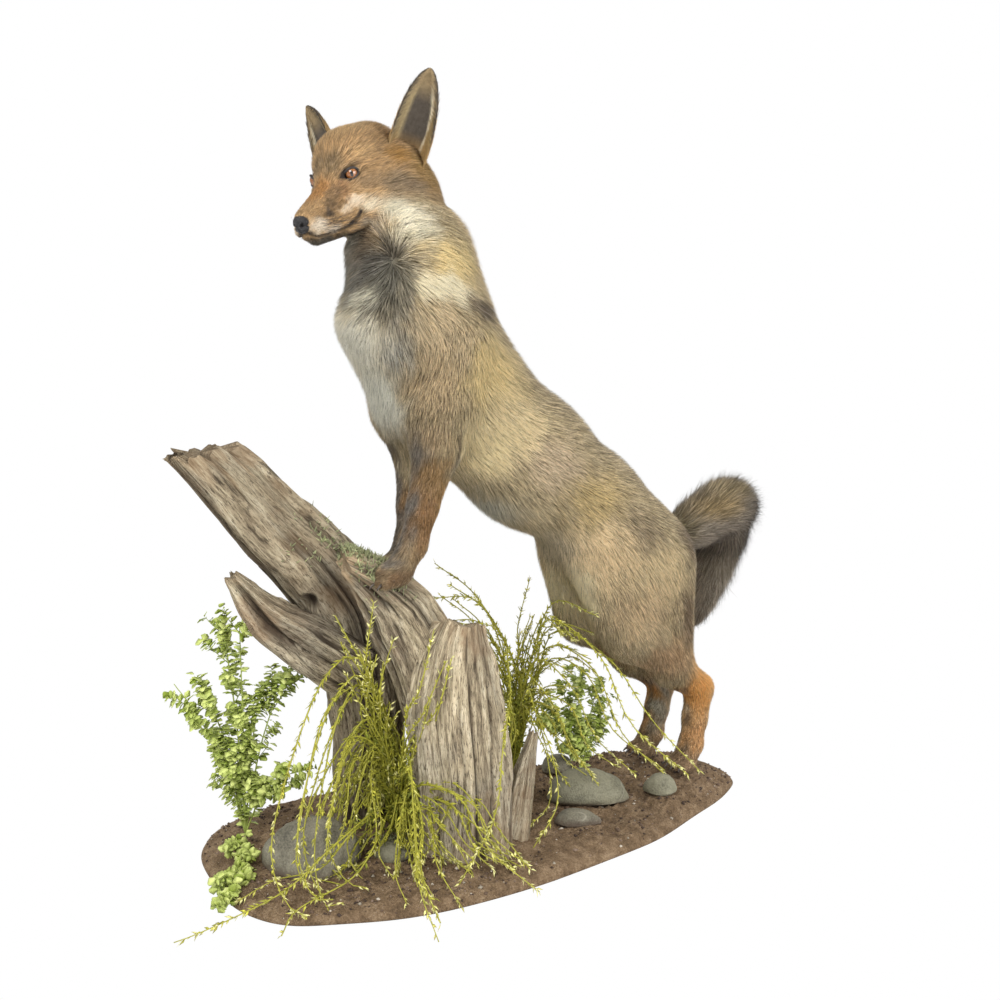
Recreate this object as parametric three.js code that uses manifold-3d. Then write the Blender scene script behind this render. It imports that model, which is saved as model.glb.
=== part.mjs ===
// A life-size museum mount of a red fox. The fox stands with its forepaws on a leaning piece of
// driftwood and its hind feet on a soil-covered base that also carries stones and artificial plants.
//
// Millimetres, +Z up. The fox faces -Y and its left side is +X. The body is a smooth union of tapered
// forms, each a flesh radius plus the depth of its coat, so that the solids reach the tips of the fur.
// It is modelled whole and parted with thin cuts.

import * as THREE from "three";
import { mergeVertices } from "three/addons/utils/BufferGeometryUtils.js";
import Module from "manifold-3d";

const wasm = await Module();
wasm.setup();

const rad = THREE.MathUtils.degToRad;
const vec = (x, y, z) => new THREE.Vector3(x, y, z);

// ---------------------------------------------------------------- driving dimensions

const GAP = 0.3; // clearance between neighbouring solids
const SLIVER = 0.12; // surface detail finer than this is dropped
const FAR = 1500; // edge of the cutting blocks, longer than the whole mount

const HEAD_AT = vec(12, -248, 728); // midway between the eyes, while the mount stands off centre
const HEAD_TURN = rad(29.5); // to the fox's left
const HEAD_DIP = rad(21.5); // muzzle down
const EYE_RADIUS = 8.5;
const EAR_LENGTH = 94;
const EAR_HALF_WIDTH = 26;
const EAR_SKIN = 3.6;
const EAR_CLEARANCE = 0.7; // all round the root of an ear

const ELBOW = 425; // heights at which the legs are parted
const WRIST = 338;
const KNEE = 262;
const HEEL = 66;
const FORELEG_BACK = { left: -118, right: -106 };
const HINDLEG_FRONT = -10;
const HINDLEG_BACK = 272;

const BASE_CENTRE_Y = -33;
const BASE_HALF_LENGTH = 349;
const SOIL_DEPTH = 18; // between the mounds
const STRAND_RADIUS = 1.7; // of a plant stem at its root
const ACROSS = rad(61); // the heading of the stones' long sides, across the front left of the base

const sides = { left: 1, right: -1 };


// ---------------------------------------------------------------- solids and meshes

// A closed BufferGeometry as a manifold-3d solid, with its shared vertices merged.
function solidOf(geometry) {
  const bare = geometry.clone();
  bare.deleteAttribute("normal");
  bare.deleteAttribute("uv");
  const merged = mergeVertices(bare, 1e-4);
  return new wasm.Manifold(
    new wasm.Mesh({
      numProp: 3,
      vertProperties: new Float32Array(merged.attributes.position.array),
      triVerts: new Uint32Array(merged.index.array),
    }),
  );
}

// Its surface, without the slivers that cutting leaves.
function geometryOf(solid) {
  const { numProp, vertProperties, triVerts } = solid.asOriginal().simplify(SLIVER).getMesh();
  const count = vertProperties.length / numProp;
  const positions = new Float32Array(count * 3);
  for (let i = 0; i < count; i++) {
    positions.set(vertProperties.subarray(i * numProp, i * numProp + 3), i * 3);
  }
  const geometry = new THREE.BufferGeometry();
  geometry.setAttribute("position", new THREE.BufferAttribute(positions, 3));
  geometry.setIndex(new THREE.BufferAttribute(triVerts, 1));
  geometry.computeVertexNormals();
  return geometry;
}

// Turns a grid of rings, each an array of points, into a closed solid. Each end is closed with a fan
// or, where the ring runs out along one wall and back along another, with a strip between the walls.
function loft(rings, folded = false) {
  const sides = rings[0].length;
  const points = rings.flat();
  const index = [];
  for (let r = 0; r + 1 < rings.length; r++) {
    for (let s = 0; s < sides; s++) {
      const a = r * sides + s;
      const b = r * sides + ((s + 1) % sides);
      index.push(a, b, b + sides, a, b + sides, a + sides);
    }
  }
  for (const [ring, flip] of [[0, true], [rings.length - 1, false]]) {
    const first = ring * sides;
    const triangle = (a, b, c) => index.push(...(flip ? [c, b, a] : [a, b, c]));
    if (folded) {
      for (let s = 0; s + 1 < sides / 2; s++) {
        const back = first + sides - 1 - s;
        triangle(first + s, first + s + 1, back - 1);
        triangle(first + s, back - 1, back);
      }
      continue;
    }
    const centre = new THREE.Vector3();
    rings[ring].forEach((p) => centre.addScaledVector(p, 1 / sides));
    const hub = points.push(centre) - 1;
    for (let s = 0; s < sides; s++) triangle(hub, first + s, first + ((s + 1) % sides));
  }
  const geometry = new THREE.BufferGeometry().setFromPoints(points);
  geometry.setIndex(index);
  return solidOf(geometry);
}

// A round tube along a smooth curve through the points, with a radius that runs from start to end.
function taperedTube(points, startRadius, endRadius, steps, sides) {
  const curve = new THREE.CatmullRomCurve3(points);
  const frames = curve.computeFrenetFrames(steps, false);
  const rings = [];
  for (let i = 0; i <= steps; i++) {
    const centre = curve.getPointAt(i / steps);
    const radius = THREE.MathUtils.lerp(startRadius, endRadius, i / steps);
    const ring = [];
    for (let s = 0; s < sides; s++) {
      const angle = (s / sides) * 2 * Math.PI;
      ring.push(
        centre
          .clone()
          .addScaledVector(frames.normals[i], radius * Math.cos(angle))
          .addScaledVector(frames.binormals[i], radius * Math.sin(angle)),
      );
    }
    rings.push(ring);
  }
  return loft(rings);
}

// ---------------------------------------------------------------- fields of tapered forms

// A form is a capsule from a to b whose radius runs from ra to rb. Across `side` it is `wide` times
// as broad, and `blend` is how far it melts into the forms before it.
function form(a, ra, b, rb, { wide = 1, side = vec(1, 0, 0), blend = 20, coat = 0 } = {}) {
  return { a, ra: ra + coat, b, rb: rb + coat, wide, side, blend };
}

function formDistance(f, x, y, z) {
  const abx = f.b.x - f.a.x;
  const aby = f.b.y - f.a.y;
  const abz = f.b.z - f.a.z;
  const length2 = abx * abx + aby * aby + abz * abz || 1;
  let qx = x - f.a.x;
  let qy = y - f.a.y;
  let qz = z - f.a.z;
  const t = Math.min(1, Math.max(0, (qx * abx + qy * aby + qz * abz) / length2));
  qx -= t * abx;
  qy -= t * aby;
  qz -= t * abz;
  const across = (qx * f.side.x + qy * f.side.y + qz * f.side.z) * (1 / f.wide - 1);
  qx += across * f.side.x;
  qy += across * f.side.y;
  qz += across * f.side.z;
  return (Math.hypot(qx, qy, qz) - f.ra - t * (f.rb - f.ra)) * Math.min(1, f.wide);
}

// The smooth union of the forms, as a signed distance that is negative inside.
function fieldOf(forms) {
  return (x, y, z) => {
    let d = 1e3;
    for (const f of forms) {
      const e = formDistance(f, x, y, z);
      const h = Math.max(f.blend - Math.abs(d - e), 0) / f.blend;
      d = Math.min(d, e) - (h * h * f.blend) / 4;
    }
    return d;
  };
}

// Grid lines from the first stop to the last: each stop is [where, step up to the next stop].
function gridLines(stops) {
  const lines = [];
  for (let i = 0; i + 1 < stops.length; i++) {
    const [from, step] = stops[i];
    const span = stops[i + 1][0] - from;
    const count = Math.max(1, Math.round(span / step));
    for (let k = 0; k < count; k++) lines.push(from + (span * k) / count);
  }
  lines.push(stops.at(-1)[0]);
  return lines;
}

// The surface where the field is zero, as a solid. Each grid cell that the surface crosses gets one
// vertex, drawn onto the surface, and each crossed grid edge gets the quad of its four cells.
function netOf(field, xs, ys, zs) {
  const [nx, ny, nz] = [xs.length, ys.length, zs.length];
  const at = (i, j, k) => (k * ny + j) * nx + i;
  const values = new Float32Array(nx * ny * nz);
  for (let k = 0; k < nz; k++) {
    for (let j = 0; j < ny; j++) {
      for (let i = 0; i < nx; i++) values[at(i, j, k)] = field(xs[i], ys[j], zs[k]);
    }
  }
  const corners = [0, 1, 2, 3, 4, 5, 6, 7].map((c) => [c & 1, (c >> 1) & 1, c >> 2]);
  const edges = [];
  for (let a = 0; a < 8; a++) {
    for (const bit of [1, 2, 4]) if (!(a & bit)) edges.push([a, a | bit]);
  }
  const cellVertex = new Map();
  const points = [];
  for (let k = 0; k + 1 < nz; k++) {
    for (let j = 0; j + 1 < ny; j++) {
      for (let i = 0; i + 1 < nx; i++) {
        const sum = vec(0, 0, 0);
        let crossings = 0;
        for (const [a, b] of edges) {
          const [pa, pb] = [a, b].map((c) => corners[c]);
          const va = values[at(i + pa[0], j + pa[1], k + pa[2])];
          const vb = values[at(i + pb[0], j + pb[1], k + pb[2])];
          if (va < 0 === vb < 0) continue;
          const t = va / (va - vb);
          sum.x += THREE.MathUtils.lerp(xs[i + pa[0]], xs[i + pb[0]], t);
          sum.y += THREE.MathUtils.lerp(ys[j + pa[1]], ys[j + pb[1]], t);
          sum.z += THREE.MathUtils.lerp(zs[k + pa[2]], zs[k + pb[2]], t);
          crossings++;
        }
        if (!crossings) continue;
        cellVertex.set(at(i, j, k), points.push(drawnTo(field, sum.divideScalar(crossings))) - 1);
      }
    }
  }
  const index = [];
  const quad = (a, b, c, d, flip) => {
    const [p, q, r, s] = [a, b, c, d].map((cell) => cellVertex.get(cell));
    const shortPR = points[p].distanceTo(points[r]) < points[q].distanceTo(points[s]);
    const tris = shortPR ? [p, q, r, p, r, s] : [p, q, s, q, r, s];
    index.push(...(flip ? tris.reverse() : tris));
  };
  for (let k = 0; k + 1 < nz; k++) {
    for (let j = 0; j + 1 < ny; j++) {
      for (let i = 0; i + 1 < nx; i++) {
        const here = values[at(i, j, k)] < 0;
        if (j && k && here !== values[at(i + 1, j, k)] < 0) {
          quad(at(i, j - 1, k - 1), at(i, j, k - 1), at(i, j, k), at(i, j - 1, k), !here);
        }
        if (i && k && here !== values[at(i, j + 1, k)] < 0) {
          quad(at(i - 1, j, k - 1), at(i - 1, j, k), at(i, j, k), at(i, j, k - 1), !here);
        }
        if (i && j && here !== values[at(i, j, k + 1)] < 0) {
          quad(at(i - 1, j - 1, k), at(i, j - 1, k), at(i, j, k), at(i - 1, j, k), !here);
        }
      }
    }
  }
  const geometry = new THREE.BufferGeometry().setFromPoints(points);
  geometry.setIndex(index);
  return solidOf(geometry);
}

// Moves a point a little way along the field's gradient, onto the surface.
function drawnTo(field, p) {
  const h = 0.5;
  for (let pass = 0; pass < 2; pass++) {
    const value = field(p.x, p.y, p.z);
    const gradient = vec(
      field(p.x + h, p.y, p.z) - field(p.x - h, p.y, p.z),
      field(p.x, p.y + h, p.z) - field(p.x, p.y - h, p.z),
      field(p.x, p.y, p.z + h) - field(p.x, p.y, p.z - h),
    ).divideScalar(2 * h);
    const step = THREE.MathUtils.clamp(-value / Math.max(gradient.lengthSq(), 0.2), -3, 3);
    p.addScaledVector(gradient, step);
  }
  return p;
}

// ---------------------------------------------------------------- cutters

// Everything on the side of a plane that its normal points to.
function beyond(point, normal) {
  const block = new THREE.BoxGeometry(FAR, FAR, FAR).translate(0, 0, FAR / 2);
  block.applyQuaternion(
    new THREE.Quaternion().setFromUnitVectors(vec(0, 0, 1), normal.clone().normalize()),
  );
  return solidOf(block.translate(point.x, point.y, point.z));
}

function block([x0, y0, z0], [x1, y1, z1]) {
  const box = new THREE.BoxGeometry(x1 - x0, y1 - y0, z1 - z0);
  return solidOf(box.translate((x0 + x1) / 2, (y0 + y1) / 2, (z0 + z1) / 2));
}

// Parts a solid at a plane: [what lies behind it, what lies beyond it], a gap apart.
function partedAt(solid, point, normal) {
  const n = normal.clone().normalize();
  return [
    solid.subtract(beyond(point, n)),
    solid.intersect(beyond(point.clone().addScaledVector(n, GAP), n)),
  ];
}

const without = (solid, ...tools) => tools.reduce((rest, tool) => rest.subtract(tool), solid);
const joined = (...solids) => solids.reduce((sum, solid) => sum.add(solid));
const largest = (solid) =>
  solid.decompose().reduce((best, piece) => (piece.volume() > best.volume() ? piece : best));

// ---------------------------------------------------------------- head

// The head's own frame: its origin is midway between the eyes, +y runs back and +z up. It is turned
// to the fox's left and dipped.
const headPose = new THREE.Matrix4()
  .makeRotationZ(HEAD_TURN)
  .multiply(new THREE.Matrix4().makeRotationX(HEAD_DIP))
  .setPosition(HEAD_AT);
const onHead = (x, y, z) => vec(x, y, z).applyMatrix4(headPose);
const headWard = (x, y, z) => vec(x, y, z).transformDirection(headPose);
const headSide = headWard(1, 0, 0);

const headForm = (a, ra, b, rb, options) =>
  form(onHead(...a), ra, onHead(...b), rb, { side: headSide, blend: 12, ...options });

const headForms = [
  headForm([0, 30, 10], 30, [0, 62, 10], 32, { wide: 1.1, coat: 8 }), // cranium
  headForm([0, 2, 1], 19, [0, 30, 13], 26, { wide: 1.15, coat: 4 }), // forehead
  headForm([0, -2, -10], 17, [0, -63, -28], 9, { coat: 2 }), // bridge of the muzzle
  headForm([0, 25, -36], 17, [0, -50, -44.5], 6.5, { wide: 1.1, coat: 3 }), // lower jaw
];
for (const s of [-1, 1]) {
  headForms.push(
    headForm([s * 7, -60, -35], 5.5, [s * 16, -8, -33], 9, { coat: 2, blend: 8 }), // upper lip
    headForm([s * 23, 2, -14], 9, [s * 36, 40, -12], 15, { coat: 5 }), // cheekbone
    headForm([s * 26, 28, -28], 18, [s * 34, 58, -24], 23, { coat: 12 }), // cheek ruff
    headForm([s * 36, 58, 14], 14, [s * 46, 72, 26], 13, { coat: 5 }), // root of the ear
  );
}

// Eyes: glass balls set in sockets, which open in the front of the head as an almond between the lids.
const eyeAt = (s) => onHead(s * 21, 1, 4);
const eyeAxis = (s) => headWard(s * 0.66, -0.74, 0.06);
function eyeOpening(s) {
  const opening = new THREE.SphereGeometry(1, 8, 6);
  opening.scale(7.5, 5.5, 12);
  opening.applyQuaternion(
    new THREE.Quaternion().setFromUnitVectors(vec(0, 0, 1), eyeAxis(s)),
  );
  const mouth = eyeAt(s).addScaledVector(eyeAxis(s), 10);
  opening.translate(mouth.x, mouth.y, mouth.z);
  return solidOf(opening);
}
function ball(centre, radius) {
  const sphere = new THREE.SphereGeometry(radius, 10, 7);
  return solidOf(sphere.translate(centre.x, centre.y, centre.z));
}

// Nose: a leathery pad at the tip of the muzzle.
const NOSE_AT = onHead(0, -70, -29.5);
function nosePad(grow = 0) {
  const pad = new THREE.SphereGeometry(1, 10, 7);
  pad.scale(9.5 + grow, 8 + grow, 8.5 + grow);
  pad.applyMatrix4(new THREE.Matrix4().extractRotation(headPose));
  return solidOf(pad.translate(NOSE_AT.x, NOSE_AT.y, NOSE_AT.z));
}

// Ears: cupped leaves. Each cross-section is an arc that is nearly a tube at the root and flattens
// to the tip, with a furred skin of some thickness.
function ear(tip, lean, facing, grow = 0) {
  const axis = lean.clone().normalize();
  const open = facing.clone().addScaledVector(axis, -facing.dot(axis)).normalize();
  const side = new THREE.Vector3().crossVectors(open, axis);
  const root = tip.clone().addScaledVector(axis, -EAR_LENGTH);
  const across = 5;
  const along = 6;
  const rings = [];
  for (let i = 0; i <= along; i++) {
    const u = i / along;
    const half = THREE.MathUtils.lerp(rad(105), rad(52), u);
    const breadth = EAR_HALF_WIDTH * Math.pow(Math.max(1 - u, 0.004), 0.6) * (0.8 + 0.75 * u);
    const radius = breadth / Math.max(Math.sin(Math.min(half, Math.PI / 2)), 0.3);
    const skin = Math.min(EAR_SKIN, radius * 0.5);
    const ending = i === 0 ? -grow : i === along ? grow : 0;
    const centre = root.clone().addScaledVector(axis, EAR_LENGTH * u + ending);
    const ring = [];
    const angles = Array.from({ length: across + 1 }, (_, k) => THREE.MathUtils.lerp(-half, half, k / across));
    if (grow) angles.unshift(-half - grow / radius);
    if (grow) angles.push(half + grow / radius);
    const outer = angles.map((angle) => [radius + grow, angle]);
    const inner = angles.map((angle) => [radius - skin - grow, angle]).reverse();
    for (const [r, angle] of [...outer, ...inner]) {
      ring.push(
        centre
          .clone()
          .addScaledVector(side, r * Math.sin(angle))
          .addScaledVector(open, radius * 0.6 - r * Math.cos(angle)),
      );
    }
    rings.push(ring);
  }
  return loft(rings, true);
}
const earOn = (s, grow) =>
  ear(onHead(s * 84, 90, 84), headWard(s * 0.46, 0.2, 0.865), headWard(s * 0.62, -0.78, 0), grow);

// ---------------------------------------------------------------- neck, trunk, legs and tail

const trunkForms = [
  form(vec(0, -142, 580), 62, vec(0, -112, 505), 68, { wide: 0.85, coat: 22 }), // chest
  form(vec(0, -112, 505), 68, vec(0, -12, 428), 64, { wide: 0.85, coat: 20, blend: 24 }), // ribs
  form(vec(0, -12, 428), 62, vec(0, 72, 374), 54, { wide: 0.88, coat: 18, blend: 24 }), // loin
  form(vec(0, 72, 374), 54, vec(0, 160, 320), 46, { coat: 16, blend: 24 }), // pelvis
  form(vec(0, -172, 570), 40, vec(0, -150, 512), 30, { coat: 20, blend: 24 }), // breast ruff
  form(vec(0, -152, 600), 46, vec(0, -166, 655), 46, { coat: 28, blend: 30 }), // lower neck
  form(vec(0, -166, 655), 46, onHead(0, 62, -18), 34, { coat: 26, blend: 26 }), // upper neck
];

// Four toes that fan out from the front of a paw.
function toeForms(knuckles, reach) {
  return [-1.5, -0.5, 0.5, 1.5].map((place) => {
    const start = knuckles.clone().add(vec(place * 7.5, Math.abs(place) * 2.5, 0));
    const end = start.clone().add(reach).add(vec(place * 1.5, Math.abs(place) * 1.5, 0));
    return form(start, 6.5, end, 5.5, { coat: 2.5, blend: 3 });
  });
}

// One foreleg on side s, down to a paw at `paw`.
function forelegForms(s, elbow, wrist, paw) {
  const taper = elbow.clone().lerp(wrist, 0.62);
  return [
    form(vec(s * 40, -128, 560), 32, vec(s * 44, -146, 495), 29, { coat: 14, blend: 24 }), // shoulder
    form(vec(s * 44, -146, 495), 27, elbow, 21, { coat: 9, blend: 14 }), // upper arm
    form(elbow, 21, taper, 13, { coat: 5, blend: 10 }), // forearm
    form(taper, 13, wrist, 12, { coat: 4, blend: 8 }), // lower forearm
    form(wrist, 11.5, paw, 11.5, { coat: 4, blend: 8 }), // pastern
    form(paw, 11, paw.clone().add(vec(0, -12, -4)), 11, { coat: 4, wide: 1.25, blend: 8 }), // paw
    ...toeForms(paw.clone().add(vec(0, -12, -6)), vec(0, -13, -4)),
  ];
}

// One hind leg on side s, through the knee and hock to a paw.
function hindlegForms(s, hip, knee, hock, heel, paw) {
  const shank = hock.clone().lerp(heel, 0.55);
  const hamEnd = hock.clone().lerp(knee, 0.42);
  return [
    form(hip, 46, knee, 26, { wide: 0.8, coat: 12, blend: 24 }), // thigh
    form(vec(s * 30, 172, 300), 34, hamEnd, 20, { wide: 0.85, coat: 10, blend: 20 }), // ham
    form(knee, 25, hock, 13.5, { wide: 0.9, coat: 6, blend: 12 }), // gaskin
    form(hock, 14.5, shank, 12, { coat: 4.5, blend: 8 }), // hock
    form(shank, 12, heel, 11, { coat: 4, blend: 8 }), // cannon
    form(heel, 11, paw, 11.5, { coat: 4, wide: 1.15, blend: 8 }), // paw
    ...toeForms(paw.clone().add(vec(0, -4, -3)), vec(0, -13, -2)),
  ];
}

const legForms = [
  ...forelegForms(1, vec(45, -148, 450), vec(38, -174, 345), vec(37, -191, 317)),
  ...forelegForms(-1, vec(-40, -134, 448), vec(-28, -150, 345), vec(-27, -163, 318)),
  ...hindlegForms(
    1, vec(30, 118, 322), vec(44, 112, 226), vec(36, 226, 143), vec(36, 214, 72), vec(36, 203, 54),
  ),
  ...hindlegForms(
    -1, vec(-30, 112, 318), vec(-44, 112, 232), vec(-37, 224, 138), vec(-37, 208, 70), vec(-38, 196, 53),
  ),
];

// The brush rises from the rump, arches over and hangs down behind.
const tailPath = [
  [0, 200, 332, 28],
  [0, 250, 350, 38],
  [-3, 295, 368, 44],
  [-12, 320, 370, 45],
  [-26, 322, 328, 41],
  [-38, 315, 275, 33],
  [-48, 308, 235, 21],
  [-52, 304, 212, 7],
];
const tailForms = [];
for (let i = 0; i + 1 < tailPath.length; i++) {
  const [ax, ay, az, ra] = tailPath[i];
  const [bx, by, bz, rb] = tailPath[i + 1];
  tailForms.push(form(vec(ax, ay, az), ra, vec(bx, by, bz), rb, { blend: 8 }));
}

const foxField = fieldOf([...trunkForms, ...headForms, ...legForms, ...tailForms]);

// The surface within the given grid lines, grown by `grow`, closed off just inside the outermost ones.
function netAlong(lines, grow = 0) {
  const limits = lines.map((line) => [
    THREE.MathUtils.lerp(line[0], line[1], 0.7),
    THREE.MathUtils.lerp(line.at(-1), line.at(-2), 0.7),
  ]);
  const clipped = (...p) =>
    Math.max(
      foxField(...p) - grow,
      ...limits.flatMap(([from, to], axis) => [from - p[axis], p[axis] - to]),
    );
  return netOf(clipped, ...lines);
}

// The same within a box, on a grid of even steps.
function netWithin(low, high, steps, grow = 0) {
  const even = steps.map((step, axis) => gridLines([[low[axis], step], [high[axis], step]]));
  return netAlong(even, grow);
}

const parts = new Map();
const PAW_STEP = [8.8, 9.2, 9.2];

// Legs below the elbow, the knee and the wrist are netted finely, each in a box of its own.
for (const [side, s] of Object.entries(sides)) {
  const inner = s > 0 ? 0.15 : -120;
  const cut = (y0, z0, y1, z1) => block([inner, y0, z0], [inner + 119.85, y1, z1]);
  const [x0, x1] = s > 0 ? [-20, 110] : [-110, 20];
  const foreleg = netWithin([x0, -250, 300], [x1, -80, 460], [13, 13, 26]);
  const forepaw = netWithin([x0, -260, 270], [x1, -110, 360], PAW_STEP);
  const hindleg = netWithin([x0, 0, 30], [x1, 290, 300], [17, 18, 26]);
  const hindfoot = netWithin([x0, 130, 20], [x1, 270, 90], PAW_STEP);
  parts.set(`foreleg_${side}`, foreleg.intersect(cut(-260, WRIST + GAP, FORELEG_BACK[side], ELBOW)));
  parts.set(`forepaw_${side}`, forepaw.intersect(cut(-260, 0, -100, WRIST)));
  parts.set(`hindleg_${side}`, hindleg.intersect(cut(0, HEEL + GAP, HINDLEG_BACK, KNEE)));
  parts.set(`hindfoot_${side}`, hindfoot.intersect(cut(0, 0, HINDLEG_BACK, HEEL)));
}

// Trunk, neck and tail: one coarse net without the legs, parted across its length.
const trunk = without(
  netWithin([-150, -326, 184], [150, 424, 784], [27, 29, 29]),
  block([-160, HINDLEG_FRONT, 0], [160, HINDLEG_BACK + GAP, KNEE + GAP]),
  block([0, -300, 0], [160, FORELEG_BACK.left + GAP, ELBOW + GAP]),
  block([-160, -300, 0], [0, FORELEG_BACK.right + GAP, ELBOW + GAP]),
);
const [belowHead] = partedAt(trunk, vec(0, -180, 680), vec(0, -0.27, 0.963));
const [trunkOnly, neck] = partedAt(belowHead, vec(0, -150, 600), vec(0, -0.376, 0.926));
const [behindChest, chest] = partedAt(trunkOnly, vec(0, -30, 445), vec(0, -0.8, 0.6));
const [behindLoin, loin] = partedAt(behindChest, vec(0, 82, 372), vec(0, -0.8, 0.6));
const [rump, tail] = partedAt(behindLoin, vec(0, 218, 338), vec(0, 0.94, 0.34));
const [tailRoot, tailRest] = partedAt(tail, vec(0, 290, 366), vec(0, 0.97, 0.1));
const [tailTip, tailMid] = partedAt(tailRest, vec(0, 330, 292), vec(0, 0, 1));
parts.set("neck", largest(neck));
parts.set("chest", largest(chest));
parts.set("loin", largest(loin));
parts.set("rump", largest(rump));
parts.set("tail_root", largest(tailRoot));
parts.set("tail_middle", largest(tailMid));
parts.set("tail_tip", largest(tailTip));

// Head, with sockets for the eyes, the nose and the ears.
const headNet = netAlong([
  gridLines([[-118, 15.5], [153, 15.5]]),
  gridLines([[-350, 11], [-273, 16], [-90, 16]]),
  gridLines([[600, 15], [840, 15]]),
]);
const [, head] = partedAt(headNet, vec(0, -180, 680), vec(0, -0.27, 0.963));
parts.set(
  "head",
  largest(
    without(
      head,
      ...[-1, 1].flatMap((s) => [ball(eyeAt(s), EYE_RADIUS + GAP), eyeOpening(s), earOn(s, EAR_CLEARANCE)]),
      nosePad(GAP),
    ),
  ),
);
parts.set("nose", nosePad());
for (const [side, s] of Object.entries(sides)) {
  parts.set(`eye_${side}`, ball(eyeAt(s), EYE_RADIUS));
  parts.set(`ear_${side}`, earOn(s, 0));
}

// ---------------------------------------------------------------- soil

const bump = (dx, dy, wide, long) => Math.exp(-((dx / wide) ** 2) - (dy / long) ** 2);

// The egg-shaped outline of the base at an angle, scaled towards its middle. It is widest under the
// forepaws and narrows and bends to the right behind.
function baseOutline(angle, scale) {
  const c = Math.cos(angle);
  const s = Math.sin(angle);
  const power = 2 / 3.2;
  const t = Math.sign(s) * Math.abs(s) ** power;
  const y = BASE_CENTRE_Y + BASE_HALF_LENGTH * t * scale;
  const halfWidth = THREE.MathUtils.lerp(184, 118, THREE.MathUtils.smoothstep(t, -0.5, 0.8));
  const bend = -11 - 34 * THREE.MathUtils.smoothstep(t, 0.3, 1);
  const ripple = 1 + 0.012 * Math.sin(5 * angle + 1) + 0.01 * Math.sin(11 * angle);
  return [bend + halfWidth * ripple * scale * Math.sign(c) * Math.abs(c) ** power, y];
}

// Height of the soil away from its edge: mounds under the hind feet and round the wood.
function soilHeight(x, y) {
  return (
    SOIL_DEPTH +
    20 * bump(x, y - 205, 95, 70) +
    7 * bump(x - 40, y + 150, 130, 90) +
    4 * bump(x + 60, y + 290, 90, 60)
  );
}

function soil(lift = 0) {
  const around = 30;
  const levels = [[1, 0], [1, 5], [0.975, 10], [0.92, 16]];
  const rings = levels.map(([scale, z]) => ringAt(scale, () => z + (z > 0 ? lift : 0)));
  for (const scale of [0.8, 0.62, 0.4, 0.16]) {
    rings.push(ringAt(scale, (x, y) => soilHeight(x, y) + lift));
  }
  function ringAt(scale, height) {
    return Array.from({ length: around }, (_, i) => {
      const [x, y] = baseOutline((i / around) * 2 * Math.PI, scale);
      return vec(x, y, height(x, y));
    });
  }
  return loft(rings);
}
const soilTool = soil(GAP);
parts.set("soil_base", soil());
for (const side of Object.keys(sides)) {
  parts.set(`hindfoot_${side}`, largest(parts.get(`hindfoot_${side}`).subtract(soilTool)));
}

// ---------------------------------------------------------------- driftwood

// A piece of weathered wood along stations of [x, y, z, half its breadth, half its thickness]. Its
// breadth lies towards `broadWard`, its sides are fluted, and its ends break off raggedly.
function timber(stations, broadWard, { steps = 9, around = 10, ragged = 8, phase = 0 } = {}) {
  const curve = new THREE.CatmullRomCurve3(stations.map(([x, y, z]) => vec(x, y, z)));
  const rings = [];
  for (let i = 0; i <= steps; i++) {
    const u = i / steps;
    const centre = curve.getPoint(u);
    const along = curve.getTangent(u);
    const broad = broadWard.clone().addScaledVector(along, -broadWard.dot(along)).normalize();
    const thin = new THREE.Vector3().crossVectors(along, broad);
    const place = u * (stations.length - 1);
    const before = Math.min(Math.floor(place), stations.length - 2);
    const [halfBroad, halfThin] = [3, 4].map((k) =>
      THREE.MathUtils.lerp(stations[before][k], stations[before + 1][k], place - before),
    );
    const atEnd = i === 0 ? -1 : i === steps ? 1 : 0;
    const ring = [];
    for (let s = 0; s < around; s++) {
      const angle = (s / around) * 2 * Math.PI;
      const c = Math.cos(angle);
      const d = Math.sin(angle);
      const flute = 1 + 0.07 * Math.sin(3 * angle + phase + u) + 0.06 * Math.sin(7 * angle + 2 * phase);
      ring.push(
        centre
          .clone()
          .addScaledVector(broad, halfBroad * flute * Math.sign(c) * Math.abs(c) ** 0.8)
          .addScaledVector(thin, halfThin * flute * Math.sign(d) * Math.abs(d) ** 0.8)
          .addScaledVector(along, atEnd * ragged * Math.sin(2.3 * s + phase)),
      );
    }
    rings.push(ring);
  }
  return loft(rings);
}

// The leaning slab: an upright root behind, which bends forwards and ends in a split tip.
const slab = timber(
  [
    [-50, -205, 2, 30, 30], [-50, -203, 110, 28, 27], [-50, -208, 180, 36, 27], [-49, -222, 258, 44, 28],
    [-48, -268, 325, 42, 27], [-44, -310, 366, 40, 24], [-39, -350, 404, 29, 20], [-35, -394, 443, 18, 12],
  ],
  vec(0.25, 0.6, 0.75), { steps: 10, around: 12, ragged: 12, phase: 0.6 },
);
// A pale spur below it.
const spur = timber(
  [[-32, -215, 200, 36, 26], [-30, -279, 247, 30, 24], [-29, -313, 270, 24, 18], [-28, -354, 316, 4, 5]],
  vec(0.25, 0.6, 0.75), { steps: 5, around: 8, ragged: 3, phase: 2 },
);
// The shelf on which the forepaws stand. It leans forwards out of the stump.
const shelf = timber(
  [
    [-2, -238, 330, 8, 40], [0, -203, 302, 24, 48], [2, -175, 268, 36, 50], [14, -150, 215, 38, 46],
    [30, -135, 140, 36, 42], [44, -120, 60, 34, 38],
  ],
  vec(0.36, 0.66, 0.66), { steps: 6, ragged: 4, phase: 1.2 },
);
// The upright stump in front, with a jagged top.
const stump = timber(
  [
    [80, -128, 2, 50, 46], [78, -130, 100, 50, 42], [72, -134, 170, 50, 35], [66, -131, 225, 38, 27],
    [58, -120, 260, 19, 14],
  ],
  vec(0.485, 0.875, 0), { steps: 6, ragged: 8, phase: 3.1 },
);
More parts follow.
